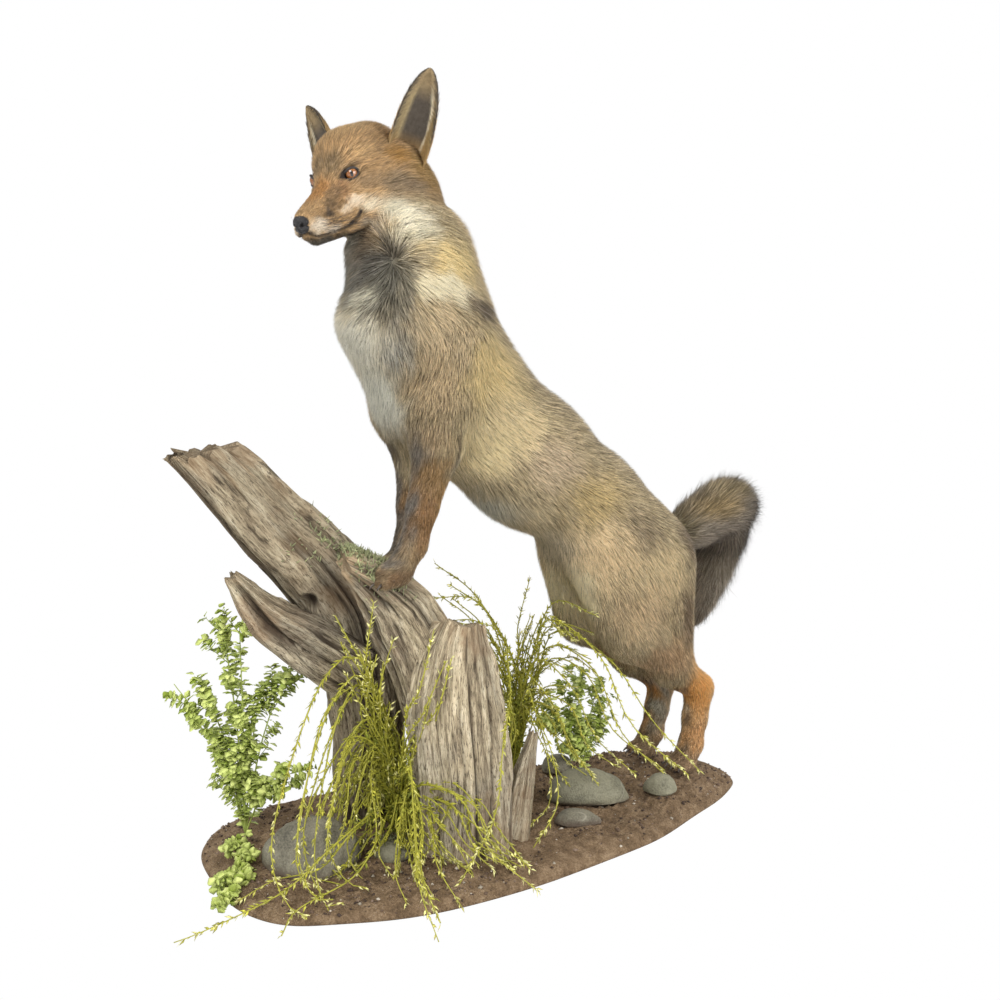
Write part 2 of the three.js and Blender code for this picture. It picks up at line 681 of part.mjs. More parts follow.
// A shard at its foot.
const shard = timber(
  [[75, -81, 2, 22, 26], [60, -58, 60, 15, 18], [38, -23, 118, 5, 5]],
  vec(0.485, 0.875, 0), { steps: 3, around: 8, ragged: 4, phase: 0.4 },
);
// Hollows that the forepaws stand in.
const pawClearance = [-1, 1].map((s) => {
  const reach = s > 0 ? [-20, 110] : [-110, 20];
  return netWithin([reach[0], -260, 270], [reach[1], -110, 360], PAW_STEP, 0.8);
});
const driftwood = largest(without(joined(slab, spur, shelf, stump, shard), soilTool, ...pawClearance));
parts.set("driftwood", driftwood);

// ---------------------------------------------------------------- stones

// A water-worn stone, half sunk in the soil.
function stone([x, y, z], [long, wide, high], turn, phase) {
  const shape = new THREE.SphereGeometry(1, 11, 7).rotateX(Math.PI / 2);
  const at = shape.attributes.position;
  for (let i = 0; i < at.count; i++) {
    const p = vec(at.getX(i), at.getY(i), at.getZ(i));
    p.multiplyScalar(1 + 0.06 * Math.sin(3 * p.x + phase) + 0.05 * Math.sin(4 * p.y + 2 * p.z + phase));
    at.setXYZ(i, p.x, p.y, p.z < 0 ? p.z * 0.3 : p.z);
  }
  shape.scale(long, wide, high).rotateZ(turn).translate(x, y, z);
  return solidOf(shape).subtract(soilTool);
}
parts.set("stone_front_large", stone([32, -289, 20], [52, 42, 44], ACROSS, 0.5));
parts.set("stone_front_small", stone([72, -214, 24], [20, 16, 15], ACROSS, 2));
parts.set("stone_middle", stone([20, 66, 25], [48, 32, 32], ACROSS, 4));
parts.set("stone_hind", stone([54, 150, 28], [21, 16, 20], ACROSS, 1));
parts.set("stone_dark", stone([74, 16, 20], [27, 18, 13], ACROSS, 3));
parts.set("stone_far", stone([-85, 88, 24], [20, 15, 20], ACROSS, 5));

// ---------------------------------------------------------------- artificial plants

// A plant stands at its root. Each strand runs through knots of [sideways, forwards, up] from there,
// in which sideways points along ACROSS and forwards a quarter turn from it, to the front left.
const strandWard = [
  vec(Math.cos(ACROSS), Math.sin(ACROSS), 0),
  vec(Math.sin(ACROSS), -Math.cos(ACROSS), 0),
  vec(0, 0, 1),
];
const hash = (n) => {
  const v = Math.sin(n * 12.9898 + 4.1414) * 43758.5453;
  return v - Math.floor(v);
};

function strand(root, knots, segments) {
  const points = [[0, 0, -6], ...knots].map((knot) =>
    knot.reduce((p, length, axis) => p.addScaledVector(strandWard[axis], length), root.clone()),
  );
  return taperedTube(points, STRAND_RADIUS, 0.7, segments, 3);
}

// A fan of strands that rise to `up` and droop again, spread from `from` to `to` in degrees off
// upright, on which `sag` is how far the ends fall back.
function fan(count, from, to, reach, up, sag, seed) {
  return Array.from({ length: count }, (_, i) => {
    const lean = rad(THREE.MathUtils.lerp(from, to, (i + hash(seed + i)) / count));
    const size = 0.75 + 0.5 * hash(seed + 31 + i);
    const forwards = 60 * (hash(seed + 67 + i) - 0.3);
    const side = Math.sin(lean) * reach * size;
    const rise = up * size * Math.cos(lean * 0.6);
    return [
      [side * 0.25, forwards * 0.2, rise * 0.55],
      [side * 0.65, forwards * 0.6, rise],
      [side, forwards, rise * (1 - sag)],
    ];
  });
}

function plant(root, strands, segments = 4) {
  const crown = new THREE.ConeGeometry(7, 14, 6).rotateX(Math.PI / 2).translate(root.x, root.y, root.z);
  const solid = joined(solidOf(crown), ...strands.map((knots) => strand(root, knots, segments)));
  const clear = without(solid, soilTool, driftwood, parts.get("stone_front_large"), parts.get("stone_middle"));
  return largest(clear);
}

const grassFront = [
  [[-32, 20, 187], [-76, 50, 180], [-111, 125, 56], [-96, 165, 4], [-69, 185, -8]],
  [[-14, 30, 38], [-48, 128, 40], [-90, 160, 8], [-138, 190, -8], [-182, 213, -19]],
  [[-14, 15, 86], [-47, 52, 120], [-55, 128, 64], [-58, 140, 28]],
  [[16, 60, 100], [26, 120, 62], [36, 180, 20], [56, 212, -18]],
  [[11, 50, 135], [30, 90, 182], [45, 96, 244]],
  [[-21, 12, 107], [-31, 40, 188], [-20, 60, 266]],
  [[-7, 12, 82], [-19, 28, 158], [-60, 60, 252]],
  [[19, 60, 68], [50, 100, 85], [76, 122, 76], [102, 138, 35], [149, 150, 0]],
];
parts.set("grass_front", plant(vec(15, -181, 24), [...grassFront, ...fan(3, -50, -5, 130, 150, 0.5, 3)]));

const grassBack = [
  [[2, 10, 100], [-37, 50, 228], [-107, 80, 242]],
  [[8, 10, 130], [-43, 30, 234], [-96, 50, 281]],
  [[8, 10, 161], [8, 20, 199], [23, 25, 260]],
  [[24, 10, 146], [50, 60, 233], [98, 110, 226]],
  [[25, 30, 135], [43, 80, 216], [100, 140, 184], [130, 190, 119], [189, 218, 70]],
  [[24, 10, 114], [50, 60, 180], [95, 90, 169]],
  [[-1, 50, 112], [-8, 150, 196], [-4, 228, 160], [-12, 290, 125], [-20, 312, 60], [-55, 335, 1]],
];
parts.set("grass_back", plant(vec(-93, 23, 26), [...grassBack, ...fan(2, -18, 25, 90, 180, 0.2, 11)]));

// A leafy sprig's stems arch out to tips of [sideways, up].
const stems = (tips) =>
  tips.map(([side, up], i) => {
    const forwards = 40 * (hash(i + 5) - 0.5);
    return [[side * 0.3, forwards * 0.3, up * 0.45], [side * 0.7, forwards * 0.7, up * 0.8], [side, forwards, up]];
  });
const leftTips = [[1, 236], [-19, 216], [-29, 234], [-101, 154], [-53, 172], [52, 190], [18, 164], [53, 69], [-39, 92]];
const rightTips = [[-49, 67], [-55, 92], [-30, 107], [-12, 130], [22, 116], [29, 67]];
const trailing = [[10, 40, 6], [15, 90, -3], [22, 150, -7]];
parts.set("sprig_left", plant(vec(-79, -328, 24), [trailing, ...stems(leftTips)], 3));
parts.set("sprig_right", plant(vec(-58, 111, 30), stems(rightTips), 3));

// ---------------------------------------------------------------- the finished mount

// Plain finishes as [colour, roughness], each with the nodes whose names begin with one of these words.
const finishes = [
  [0xa06a34, 0.9, ["head", "neck", "chest", "rump"]],
  [0xb28a52, 0.9, ["loin", "hindleg"]],
  [0x6e4a2c, 0.9, ["foreleg", "hindfoot", "forepaw"]],
  [0x4a3a2a, 0.9, ["tail", "ear"]],
  [0x15110f, 0.45, ["nose"]],
  [0x8a4a14, 0.1, ["eye"]],
  [0x4d3c2d, 0.95, ["soil"]],
  [0x8c7a62, 0.85, ["driftwood"]],
  [0x8a8272, 0.8, ["stone"]],
  [0xa5a05a, 0.7, ["grass", "sprig"]],
];
const group = new THREE.Group();
for (const [name, solid] of parts) {
  const [color, roughness] = finishes.find(([, , starts]) => starts.some((word) => name.startsWith(word)));
  const material = new THREE.MeshStandardMaterial({ color, roughness, metalness: 0 });
  const mesh = new THREE.Mesh(geometryOf(solid), material);
  mesh.name = name;
  group.add(mesh);
}

// The floor is at z = 0 and the middle of the bounding box is on the vertical axis.
const bounds = new THREE.Box3().setFromObject(group);
const middle = bounds.getCenter(vec(0, 0, 0));
for (const mesh of group.children) {
  mesh.geometry.translate(-middle.x, -middle.y, -bounds.min.z);
}
export default group;
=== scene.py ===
import math
from collections import namedtuple

import bpy
import numpy as np
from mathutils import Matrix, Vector


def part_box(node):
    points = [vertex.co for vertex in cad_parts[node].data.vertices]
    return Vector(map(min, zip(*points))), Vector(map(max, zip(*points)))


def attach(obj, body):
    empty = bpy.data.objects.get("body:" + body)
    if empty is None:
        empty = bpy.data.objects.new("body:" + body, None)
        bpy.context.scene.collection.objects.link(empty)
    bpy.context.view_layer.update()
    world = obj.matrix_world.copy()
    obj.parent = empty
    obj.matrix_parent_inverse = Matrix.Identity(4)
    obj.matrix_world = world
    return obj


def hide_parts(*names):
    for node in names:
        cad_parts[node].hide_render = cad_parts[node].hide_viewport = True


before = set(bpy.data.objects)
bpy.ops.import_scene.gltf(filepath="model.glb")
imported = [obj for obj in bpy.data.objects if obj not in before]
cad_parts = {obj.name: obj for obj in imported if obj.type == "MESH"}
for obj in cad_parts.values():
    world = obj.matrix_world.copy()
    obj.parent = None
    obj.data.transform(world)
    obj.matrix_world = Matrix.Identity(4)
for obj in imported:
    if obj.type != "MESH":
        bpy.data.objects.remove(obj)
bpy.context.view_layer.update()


# ------------------------------------------------------------------ soil-covered base
# An egg-shaped board, raised into low mounds and covered with glued forest soil. It is dark brown and
# granular, thin at its rim, with pale chips of stone and bark pressed into it.

# The fox's own frame is in millimetres: -y is ahead of it and +x is its left. Its left eye, at the
# centre of the eye's box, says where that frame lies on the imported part.
HEAD_AT = np.array([12.0, -248.0, 728.0])
HEAD_TURN, HEAD_DIP = math.radians(29.5), math.radians(21.5)
c, s = math.cos(HEAD_TURN), math.sin(HEAD_TURN)
level, dip = math.cos(HEAD_DIP), math.sin(HEAD_DIP)
HEAD_AXES = np.array([[c, s, 0], [-s * level, c * level, dip], [s * dip, -c * dip, level]])


def on_head(points):
    """Places of the head's frame in the fox's frame: turned by the head's axes, then moved."""
    return np.asarray(points, float) @ HEAD_AXES + HEAD_AT


EYE = np.array([21.0, 1.0, 4.0])
eye_box = 1000 * np.array(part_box("eye_left"), float)
HOME = eye_box.mean(axis=0) - on_head(EYE)


class Wire:
    """A node's output. Arithmetic on it adds Math nodes."""

    def __init__(self, finish, socket):
        self.finish, self.socket = finish, socket

    def maths(self, operation, other=0.0, swapped=False):
        """A Math node on this wire and the other, or on the other and this one."""
        first, second = (other, self) if swapped else (self, other)
        return self.finish.node("Math", {"operation": operation}, {0: first, 1: second})

    def __add__(self, other):
        return self.maths("ADD", other)

    def __radd__(self, other):
        return self.maths("ADD", other)

    def __sub__(self, other):
        return self.maths("SUBTRACT", other)

    def __rsub__(self, other):
        return self.maths("SUBTRACT", other, True)

    def __mul__(self, other):
        return self.maths("MULTIPLY", other)

    def __rmul__(self, other):
        return self.maths("MULTIPLY", other)

    def rises(self, low, high):
        """0 below low, 1 above high, smooth between."""
        return self.finish.node(
            "MapRange",
            {"interpolation_type": "SMOOTHSTEP"},
            {"Value": self, "From Min": low, "From Max": high},
        )


class Finish:
    """A material whose maths is written as expressions on its wires."""

    def __init__(self, name, roughness=0.8, **constants):
        self.material = bpy.data.materials.new(name)
        self.material.use_nodes = True
        self.tree = self.material.node_tree
        self.surface = self.tree.nodes["Principled BSDF"]
        self.surface.inputs["Roughness"].default_value = roughness
        for key, value in constants.items():
            self.surface.inputs[key.replace("_", " ")].default_value = value

    def node(self, kind, settings=None, inputs=None, out=0):
        """Any node: its settings first, then the values or wires of its sockets."""
        made = self.tree.nodes.new("ShaderNode" + kind)
        for key, value in (settings or {}).items():
            if key == "stops":
                ramp = made.color_ramp
                for i, (place, colour) in enumerate(value):
                    stop = ramp.elements[i] if i < 2 else ramp.elements.new(place)
                    stop.position, stop.color = place, (*colour, 1)
            else:
                setattr(made, key, value)
        for key, value in (inputs or {}).items():
            if isinstance(value, Wire):
                self.tree.links.new(value.socket, made.inputs[key])
            elif hasattr(value, "__len__") and len(value) == 3 and made.inputs[key].type == "RGBA":
                made.inputs[key].default_value = (*value, 1)
            else:
                made.inputs[key].default_value = value
        return Wire(self, made.outputs[out])

    def place(self):
        """Object coordinates, in metres."""
        return self.node("TexCoord", out=3)

    def noise(self, scale, at=None, detail=4.0, rough=0.55, bend=0.0):
        inputs = {"Vector": at or self.place(), "Scale": scale, "Detail": detail, "Roughness": rough}
        return self.node("TexNoise", {}, {**inputs, "Distortion": bend})

    def read(self, name, out=0):
        """A mesh attribute: a colour from output 0, or a number from output 2."""
        return self.node("Attribute", {"attribute_name": name}, out=out)

    def ramp(self, value, *stops):
        return self.node("ValToRGB", {"stops": stops}, {"Fac": value})

    def mix(self, share, first, second, way="MIX"):
        settings = {"data_type": "RGBA", "blend_type": way}
        return self.node("Mix", settings, {0: share, 6: first, 7: second}, out=2)

    def wear(self, colour=None, roughness=None, bump=None, depth=0.001):
        """Feeds the surface: its colour, its roughness and a bump of so many metres."""
        for key, value in (("Base Color", colour), ("Roughness", roughness)):
            if value is not None:
                self.tree.links.new(value.socket, self.surface.inputs[key])
        if bump is not None:
            normal = self.node("Bump", {}, {"Height": bump, "Distance": depth})
            self.tree.links.new(normal.socket, self.surface.inputs["Normal"])
        return self.material


def piece(name, points, faces, material, slot, replaces=(), **attributes):
    """One mesh object from points in the fox's millimetres and arrays of faces of 3 or 4 corners.
    Each attribute is one number, or one colour of 3, for every point."""
    mesh = bpy.data.meshes.new(name)
    faces = faces if isinstance(faces, list) else [faces]
    mesh.vertices.add(len(points))
    mesh.vertices.foreach_set("co", ((np.asarray(points) + HOME) / 1000).astype(np.float32).ravel())
    corners = np.concatenate([f.ravel() for f in faces]).astype(np.int32)
    sizes = np.concatenate([np.full(len(f), f.shape[1]) for f in faces])
    mesh.loops.add(len(corners))
    mesh.loops.foreach_set("vertex_index", corners)
    mesh.polygons.add(len(sizes))
    mesh.polygons.foreach_set("loop_start", np.concatenate([[0], np.cumsum(sizes)[:-1]]).astype(np.int32))
    mesh.polygons.foreach_set("use_smooth", np.ones(len(sizes), bool))
    mesh.update(calc_edges=True)
    for key, values in attributes.items():
        values = np.asarray(values, np.float32)
        if values.ndim == 2:
            layer = mesh.attributes.new(key, "FLOAT_COLOR", "POINT")
            layer.data.foreach_set("color", np.column_stack([values, np.ones(len(values))]).ravel())
        else:
            mesh.attributes.new(key, "FLOAT", "POINT").data.foreach_set("value", values)
    made = bpy.data.objects.new(name, mesh)
    bpy.context.scene.collection.objects.link(made)
    mesh.materials.append(material)
    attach(made, "root")
    if replaces:
        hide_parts(*replaces)
    return made


def closed_grid(rings, sides):
    """Faces of a closed skin: quads between neighbouring rings, and a fan at each end whose hub
    comes after all the rings."""
    r, s = np.meshgrid(np.arange(rings - 1), np.arange(sides), indexing="ij")
    a, b = r * sides + s, r * sides + (s + 1) % sides
    walls = np.stack([a, b, b + sides, a + sides], axis=-1).reshape(-1, 4)
    s = np.arange(sides)
    last = (rings - 1) * sides
    start = np.stack([np.full(sides, rings * sides), (s + 1) % sides, s], axis=1)
    end = np.stack([np.full(sides, rings * sides + 1), last + s, last + (s + 1) % sides], axis=1)
    return [walls, np.concatenate([start, end])]


def with_hubs(grid):
    """A grid of rings of points or numbers as one list, followed by the mean of its first ring and
    of its last."""
    return np.concatenate([grid.reshape(-1, *grid.shape[2:]), grid[[0, -1]].mean(axis=1)])


def unit(v):
    """Vectors divided by their length."""
    return v / np.maximum(np.linalg.norm(v, axis=-1, keepdims=True), 1e-9)


SINES = 7


def waves(points, length, seed):
    """Smooth wandering numbers of about -1 to 1: the sum of a few sine waves of about that length,
    in millimetres, in random directions, over the square root of how many there are."""
    draw = np.random.default_rng(seed)
    ways = unit(draw.normal(size=(SINES, 3)))
    ways *= (2 * np.pi / length) * draw.uniform(0.6, 1.5, (SINES, 1))
    total = np.sin(points @ ways.T + draw.uniform(0, 2 * np.pi, SINES))
    return total.sum(axis=-1) / math.sqrt(SINES)


def smooth(x, low, high):
    """0 below low, 1 above high, and 3t^2 - 2t^3 between them."""
    t = np.clip((np.asarray(x) - low) / (high - low), 0, 1)
    return t * t * (3 - 2 * t)


BASE_CENTRE_Y, BASE_HALF_LENGTH, SOIL_DEPTH = -33.0, 349.0, 18.0
HALF_WIDTH_AHEAD, HALF_WIDTH_BEHIND = 184, 118
BEND_AHEAD, BEND_BEHIND = -11, -45
SQUARENESS = 2 / 3.2


def base_outline(angle, scale):
    """x and y on the base's outline, a superellipse that narrows and bends to the right behind."""
    c, s = np.cos(angle), np.sin(angle)
    t = np.sign(s) * np.abs(s) ** SQUARENESS
    half = HALF_WIDTH_AHEAD + (HALF_WIDTH_BEHIND - HALF_WIDTH_AHEAD) * smooth(t, -0.5, 0.8)
    bend = BEND_AHEAD + (BEND_BEHIND - BEND_AHEAD) * smooth(t, 0.3, 1)
    ripple = 1 + 0.012 * np.sin(5 * angle + 1) + 0.01 * np.sin(11 * angle)
    x = bend + half * ripple * scale * np.sign(c) * np.abs(c) ** SQUARENESS
    return x, BASE_CENTRE_Y + BASE_HALF_LENGTH * t * scale


def mound(x, y, cx, cy, wide, long):
    """A bell-shaped rise round cx, cy."""
    return np.exp(-(((x - cx) / wide) ** 2) - ((y - cy) / long) ** 2)


def soil_height(x, y):
    """The height of the soil away from its rim: its depth and three broad mounds."""
    return (
        SOIL_DEPTH
        + 20 * mound(x, y, 0, 205, 95, 70)
        + 7 * mound(x, y, 40, -150, 130, 90)
        + 4 * mound(x, y, -60, -290, 90, 60)
    )


def soil_surface(angle, scale):
    """Points of the soil's top: the mounds, fallen off towards the rim, with clods and grains."""
    x, y = base_outline(angle, scale)
    flat = np.stack([x, y, np.zeros_like(x)], axis=-1)
    fall = np.sqrt(np.clip(1 - scale**6, 0, 1))
    clods = 2.2 * waves(flat, 38, 11) + 1.2 * waves(flat, 13, 12) + 0.8 * waves(flat, 5, 13)
    z = np.maximum(2 + (soil_height(x, y) - 1 + clods) * fall, 1.0)
    return np.stack([x, y, z], axis=-1)


turns, steps = 260, 64
angle = np.linspace(0, 2 * np.pi, turns, endpoint=False)[None, :]
scale = np.sqrt(np.linspace(1, 0.0001, steps))[:, None]
top = soil_surface(np.broadcast_to(angle, (steps, turns)), np.broadcast_to(scale, (steps, turns)))
foot = np.stack([*base_outline(angle, np.full((1, turns), 0.995)), np.zeros((1, turns))], axis=-1)
under = foot * [0.9, 0.9, 1]
grid = np.concatenate([under, foot, top])

soil = Finish("soil", roughness=0.95, Specular_IOR_Level=0.2)
clumps = soil.noise(70, detail=6)
grains = soil.noise(420, detail=3, rough=0.7)
specks = soil.node("TexVoronoi", {"feature": "F1"}, {"Vector": soil.place(), "Scale": 330.0})
earth = soil.ramp(
    0.55 * clumps + 0.5 * grains,
    (0.3, (0.06, 0.038, 0.021)),
    (0.52, (0.2, 0.132, 0.075)),
    (0.75, (0.4, 0.29, 0.18)),
)
chips = (1 - specks.rises(0.1, 0.2)) * soil.noise(45, detail=1).rises(0.52, 0.6)
earth = soil.mix(chips * 0.8, earth, (0.42, 0.34, 0.26))
soil.wear(earth, bump=grains + clumps, depth=0.004)
piece("soil", with_hubs(grid), closed_grid(len(grid), turns), soil.material, "soil", ["soil_base"])


def spun(points, angle):
    """Points turned by an angle about the upright axis: (x cos - y sin, x sin + y cos, z)."""
    c, s = np.cos(angle), np.sin(angle)
    x, y, z = np.moveaxis(points, -1, 0)
    return np.stack([x * c - y * s, x * s + y * c, z], axis=-1)


# Loose crumbs and chips that lie on the soil: small eight-faced lumps, most of them dark.
CRUMBS = 3600
draw = np.random.default_rng(21)
at = soil_surface(draw.uniform(0, 2 * np.pi, CRUMBS), np.sqrt(draw.uniform(0, 0.985, CRUMBS)))
size = draw.gamma(3.0, 0.45, CRUMBS).clip(0.5, 4.2)
corner = np.array([[1, 0, 0], [0, 1, 0], [-1, 0, 0], [0, -1, 0], [0, 0, 0.7], [0, 0, -0.7]])
lump = corner[None] * draw.uniform(0.6, 1.3, (CRUMBS, 6, 1)) * size[:, None, None]
spin = draw.uniform(0, 2 * np.pi, CRUMBS)
points = at[:, None] + spun(lump, spin[:, None]) + [0, 0, 0.4]
points[..., 2] = np.maximum(points[..., 2], 0.3)
facets = np.array([[0, 1, 4], [1, 2, 4], [2, 3, 4], [3, 0, 4], [1, 0, 5], [2, 1, 5], [3, 2, 5], [0, 3, 5]])
faces = (facets[None] + 6 * np.arange(CRUMBS)[:, None, None]).reshape(-1, 3)
crumb_tones = np.array(
    [[0.05, 0.03, 0.02], [0.11, 0.07, 0.045], [0.2, 0.14, 0.1], [0.5, 0.44, 0.36], [0.3, 0.26, 0.2]]
)
tone = crumb_tones[draw.choice(len(crumb_tones), CRUMBS, p=[0.35, 0.35, 0.2, 0.04, 0.06])]
crumb = Finish("crumb", roughness=0.9)
crumb.wear(crumb.mix(0.35, crumb.read("tone"), crumb.noise(300, detail=2), "OVERLAY"))
piece("soil_crumbs", points.reshape(-1, 3), faces, crumb.material, "soil", tone=np.repeat(tone, 6, axis=0))


# ------------------------------------------------------------------ stones
# Six river stones sit half sunk in the soil. They are grey-brown and finely pitted, with pale veins of
# quartz, and soil dust lies low on their sides.

ACROSS = math.radians(61)


def ball_grid(rings, around):
    """Points of a unit ball, in rings from near its foot to near its top."""
    up = np.linspace(-np.pi / 2, np.pi / 2, rings + 2)[1:-1, None]
    a = np.linspace(0, 2 * np.pi, around, endpoint=False)[None, :]
    return np.stack([np.cos(up) * np.cos(a), np.cos(up) * np.sin(a), np.sin(up) + 0 * a], axis=-1)


def stone_surface(centre, size, turn, phase):
    """A ball whose radius swells and dips with a few long waves, flattened to size = (long, wide,
    high) and turned. Its lower half is shallow."""
    ball = ball_grid(46, 72)
    x, y, z = np.moveaxis(ball, -1, 0)
    swell = 1 + 0.06 * np.sin(3 * x + phase) + 0.05 * np.sin(4 * y + 2 * z + phase)
    for length, height, seed in ((60, 0.02, 3), (16, 0.008, 5)):
        swell += height * waves(ball * 100, length, int(10 * phase) + seed)
    worn = ball * swell[..., None]
    worn[..., 2] *= np.where(worn[..., 2] < 0, 0.3, 1)
    placed = spun(worn * size, turn) + centre
    placed[..., 2] = np.maximum(placed[..., 2], 0.5)
    return placed


def stone_finish(name, low, middle, high, vein, vein_colour):
    """Speckled stone with soil dust on its lower part and a pale vein."""
    made = Finish(name, roughness=0.75)
    coarse, fine = made.noise(38, detail=7, rough=0.65), made.noise(520, detail=2)
    body = made.ramp(0.6 * coarse + 0.4 * fine, (0.34, low), (0.5, middle), (0.68, high))
    streak = made.noise(13, detail=2, bend=0.3)
    band = (1 - (streak - 0.5).maths("ABSOLUTE").rises(0.0, vein)) * made.noise(11, detail=0).rises(0.5, 0.6)
    body = made.mix(band * 0.5, body, vein_colour)
    height = made.node("SeparateXYZ", inputs={0: made.place()}, out=2)
    dust = (1 - (height + 0.012 * coarse).rises(0.024, 0.036)) * 0.8
    body = made.mix(dust, body, (0.085, 0.056, 0.038))
    return made.wear(body, bump=coarse + 0.35 * fine, depth=0.0025)


grey_stone = stone_finish(
    "grey_stone", (0.07, 0.063, 0.045), (0.17, 0.155, 0.11), (0.28, 0.26, 0.19), 0.02, (0.4, 0.37, 0.29)
)
green_stone = stone_finish(
    "green_stone", (0.08, 0.075, 0.05), (0.19, 0.18, 0.12), (0.26, 0.245, 0.17), 0.012, (0.36, 0.33, 0.26)
)
stones = [
    ("stone_front_large", (32, -289, 20), (52, 42, 44), 0.5, grey_stone),
    ("stone_front_small", (72, -214, 24), (20, 16, 15), 2, green_stone),
    ("stone_middle", (20, 66, 25), (48, 32, 32), 4, green_stone),
    ("stone_hind", (54, 150, 28), (21, 16, 20), 1, green_stone),
    ("stone_dark", (74, 16, 20), (27, 18, 13), 3, grey_stone),
    ("stone_far", (-85, 88, 24), (20, 15, 20), 5, grey_stone),
]
for name, centre, size, phase, finish in stones:
    grid = stone_surface(centre, size, ACROSS, phase)
    piece(name + "_worn", with_hubs(grid), closed_grid(*grid.shape[:2]), finish, "stone", [name])


# ------------------------------------------------------------------ driftwood
# Weathered driftwood, grey-tan and deeply grooved along its grain. A slab leans ahead out of an
# upright root and ends in a split tip, and a pale broken shelf carries the forepaws. A ragged stump
# stands in front with a shard at its foot. All are sunk in the soil.


def smooth_path(knots, count):
    """Points along a Catmull-Rom curve through the knots, the same number in every span, with the
    place of each along the knots."""
    knots = np.asarray(knots, float)
    ghost = np.concatenate([2 * knots[:1] - knots[1:2], knots, 2 * knots[-1:] - knots[-2:-1]])
    place = np.linspace(0, len(knots) - 1, count)
    i = np.minimum(place.astype(int), len(knots) - 2)
    t = (place - i)[:, None]
    p0, p1, p2, p3 = (ghost[i + k] for k in range(4))
    curve = p1 + 0.5 * t * (p2 - p0 + t * (2 * p0 - 5 * p1 + 4 * p2 - p3 + t * (3 * (p1 - p2) + p3 - p0)))
    return curve, place


wood = Finish("weathered_wood", roughness=0.88, Specular_IOR_Level=0.25)
drawn_out = wood.read("along", 2) * 0.07
fibre_place = wood.node("CombineXYZ", inputs={0: wood.read("across", 2), 1: drawn_out, 2: 0.0})
fibres = wood.noise(0.55, at=fibre_place, detail=6, rough=0.7)
streaks = wood.noise(0.11, at=fibre_place, detail=4, rough=0.6)
stains = wood.noise(14, detail=4)
tan = wood.ramp(
    0.5 * fibres + 0.5 * streaks,
    (0.38, (0.07, 0.052, 0.034)),
    (0.455, (0.35, 0.28, 0.18)),
    (0.53, (0.6, 0.5, 0.335)),
    (0.62, (0.84, 0.74, 0.54)),
)
silver = wood.ramp(fibres, (0.4, (0.16, 0.14, 0.11)), (0.58, (0.5, 0.46, 0.37)))
tan = wood.mix(wood.noise(7, detail=3).rises(0.45, 0.6) * 0.45, tan, silver)
hairline = wood.noise(1.5, at=fibre_place, detail=3, rough=0.7)
tan = wood.mix((1 - hairline.rises(0.4, 0.46)) * 0.75, tan, (0.05, 0.036, 0.024))
tan = wood.mix(stains.rises(0.5, 0.68) * 0.55, tan, (0.34, 0.22, 0.12))
torn_wood = wood.ramp(fibres, (0.3, (0.38, 0.22, 0.1)), (0.65, (0.72, 0.56, 0.36)))
tan = wood.mix(wood.read("fresh", 2) * 0.8, tan, torn_wood)
# Painted shade: a darker copy of the wood on the slab and the spur.
tan = wood.mix(wood.read("dim", 2), tan, (0.05, 0.035, 0.022))
# Painted shade in the grooves, cracks and the knot hole: darker the deeper they are.
tan = wood.mix(wood.read("groove", 2) * 0.85, tan, (0.035, 0.022, 0.014))
wood.wear(tan, bump=fibres + 0.5 * streaks + 0.5 * hairline, depth=0.004)


CRACK_DEPTH, KNOT_DEPTH, LAYER_STEP = 5.5, 7.0, 3.0


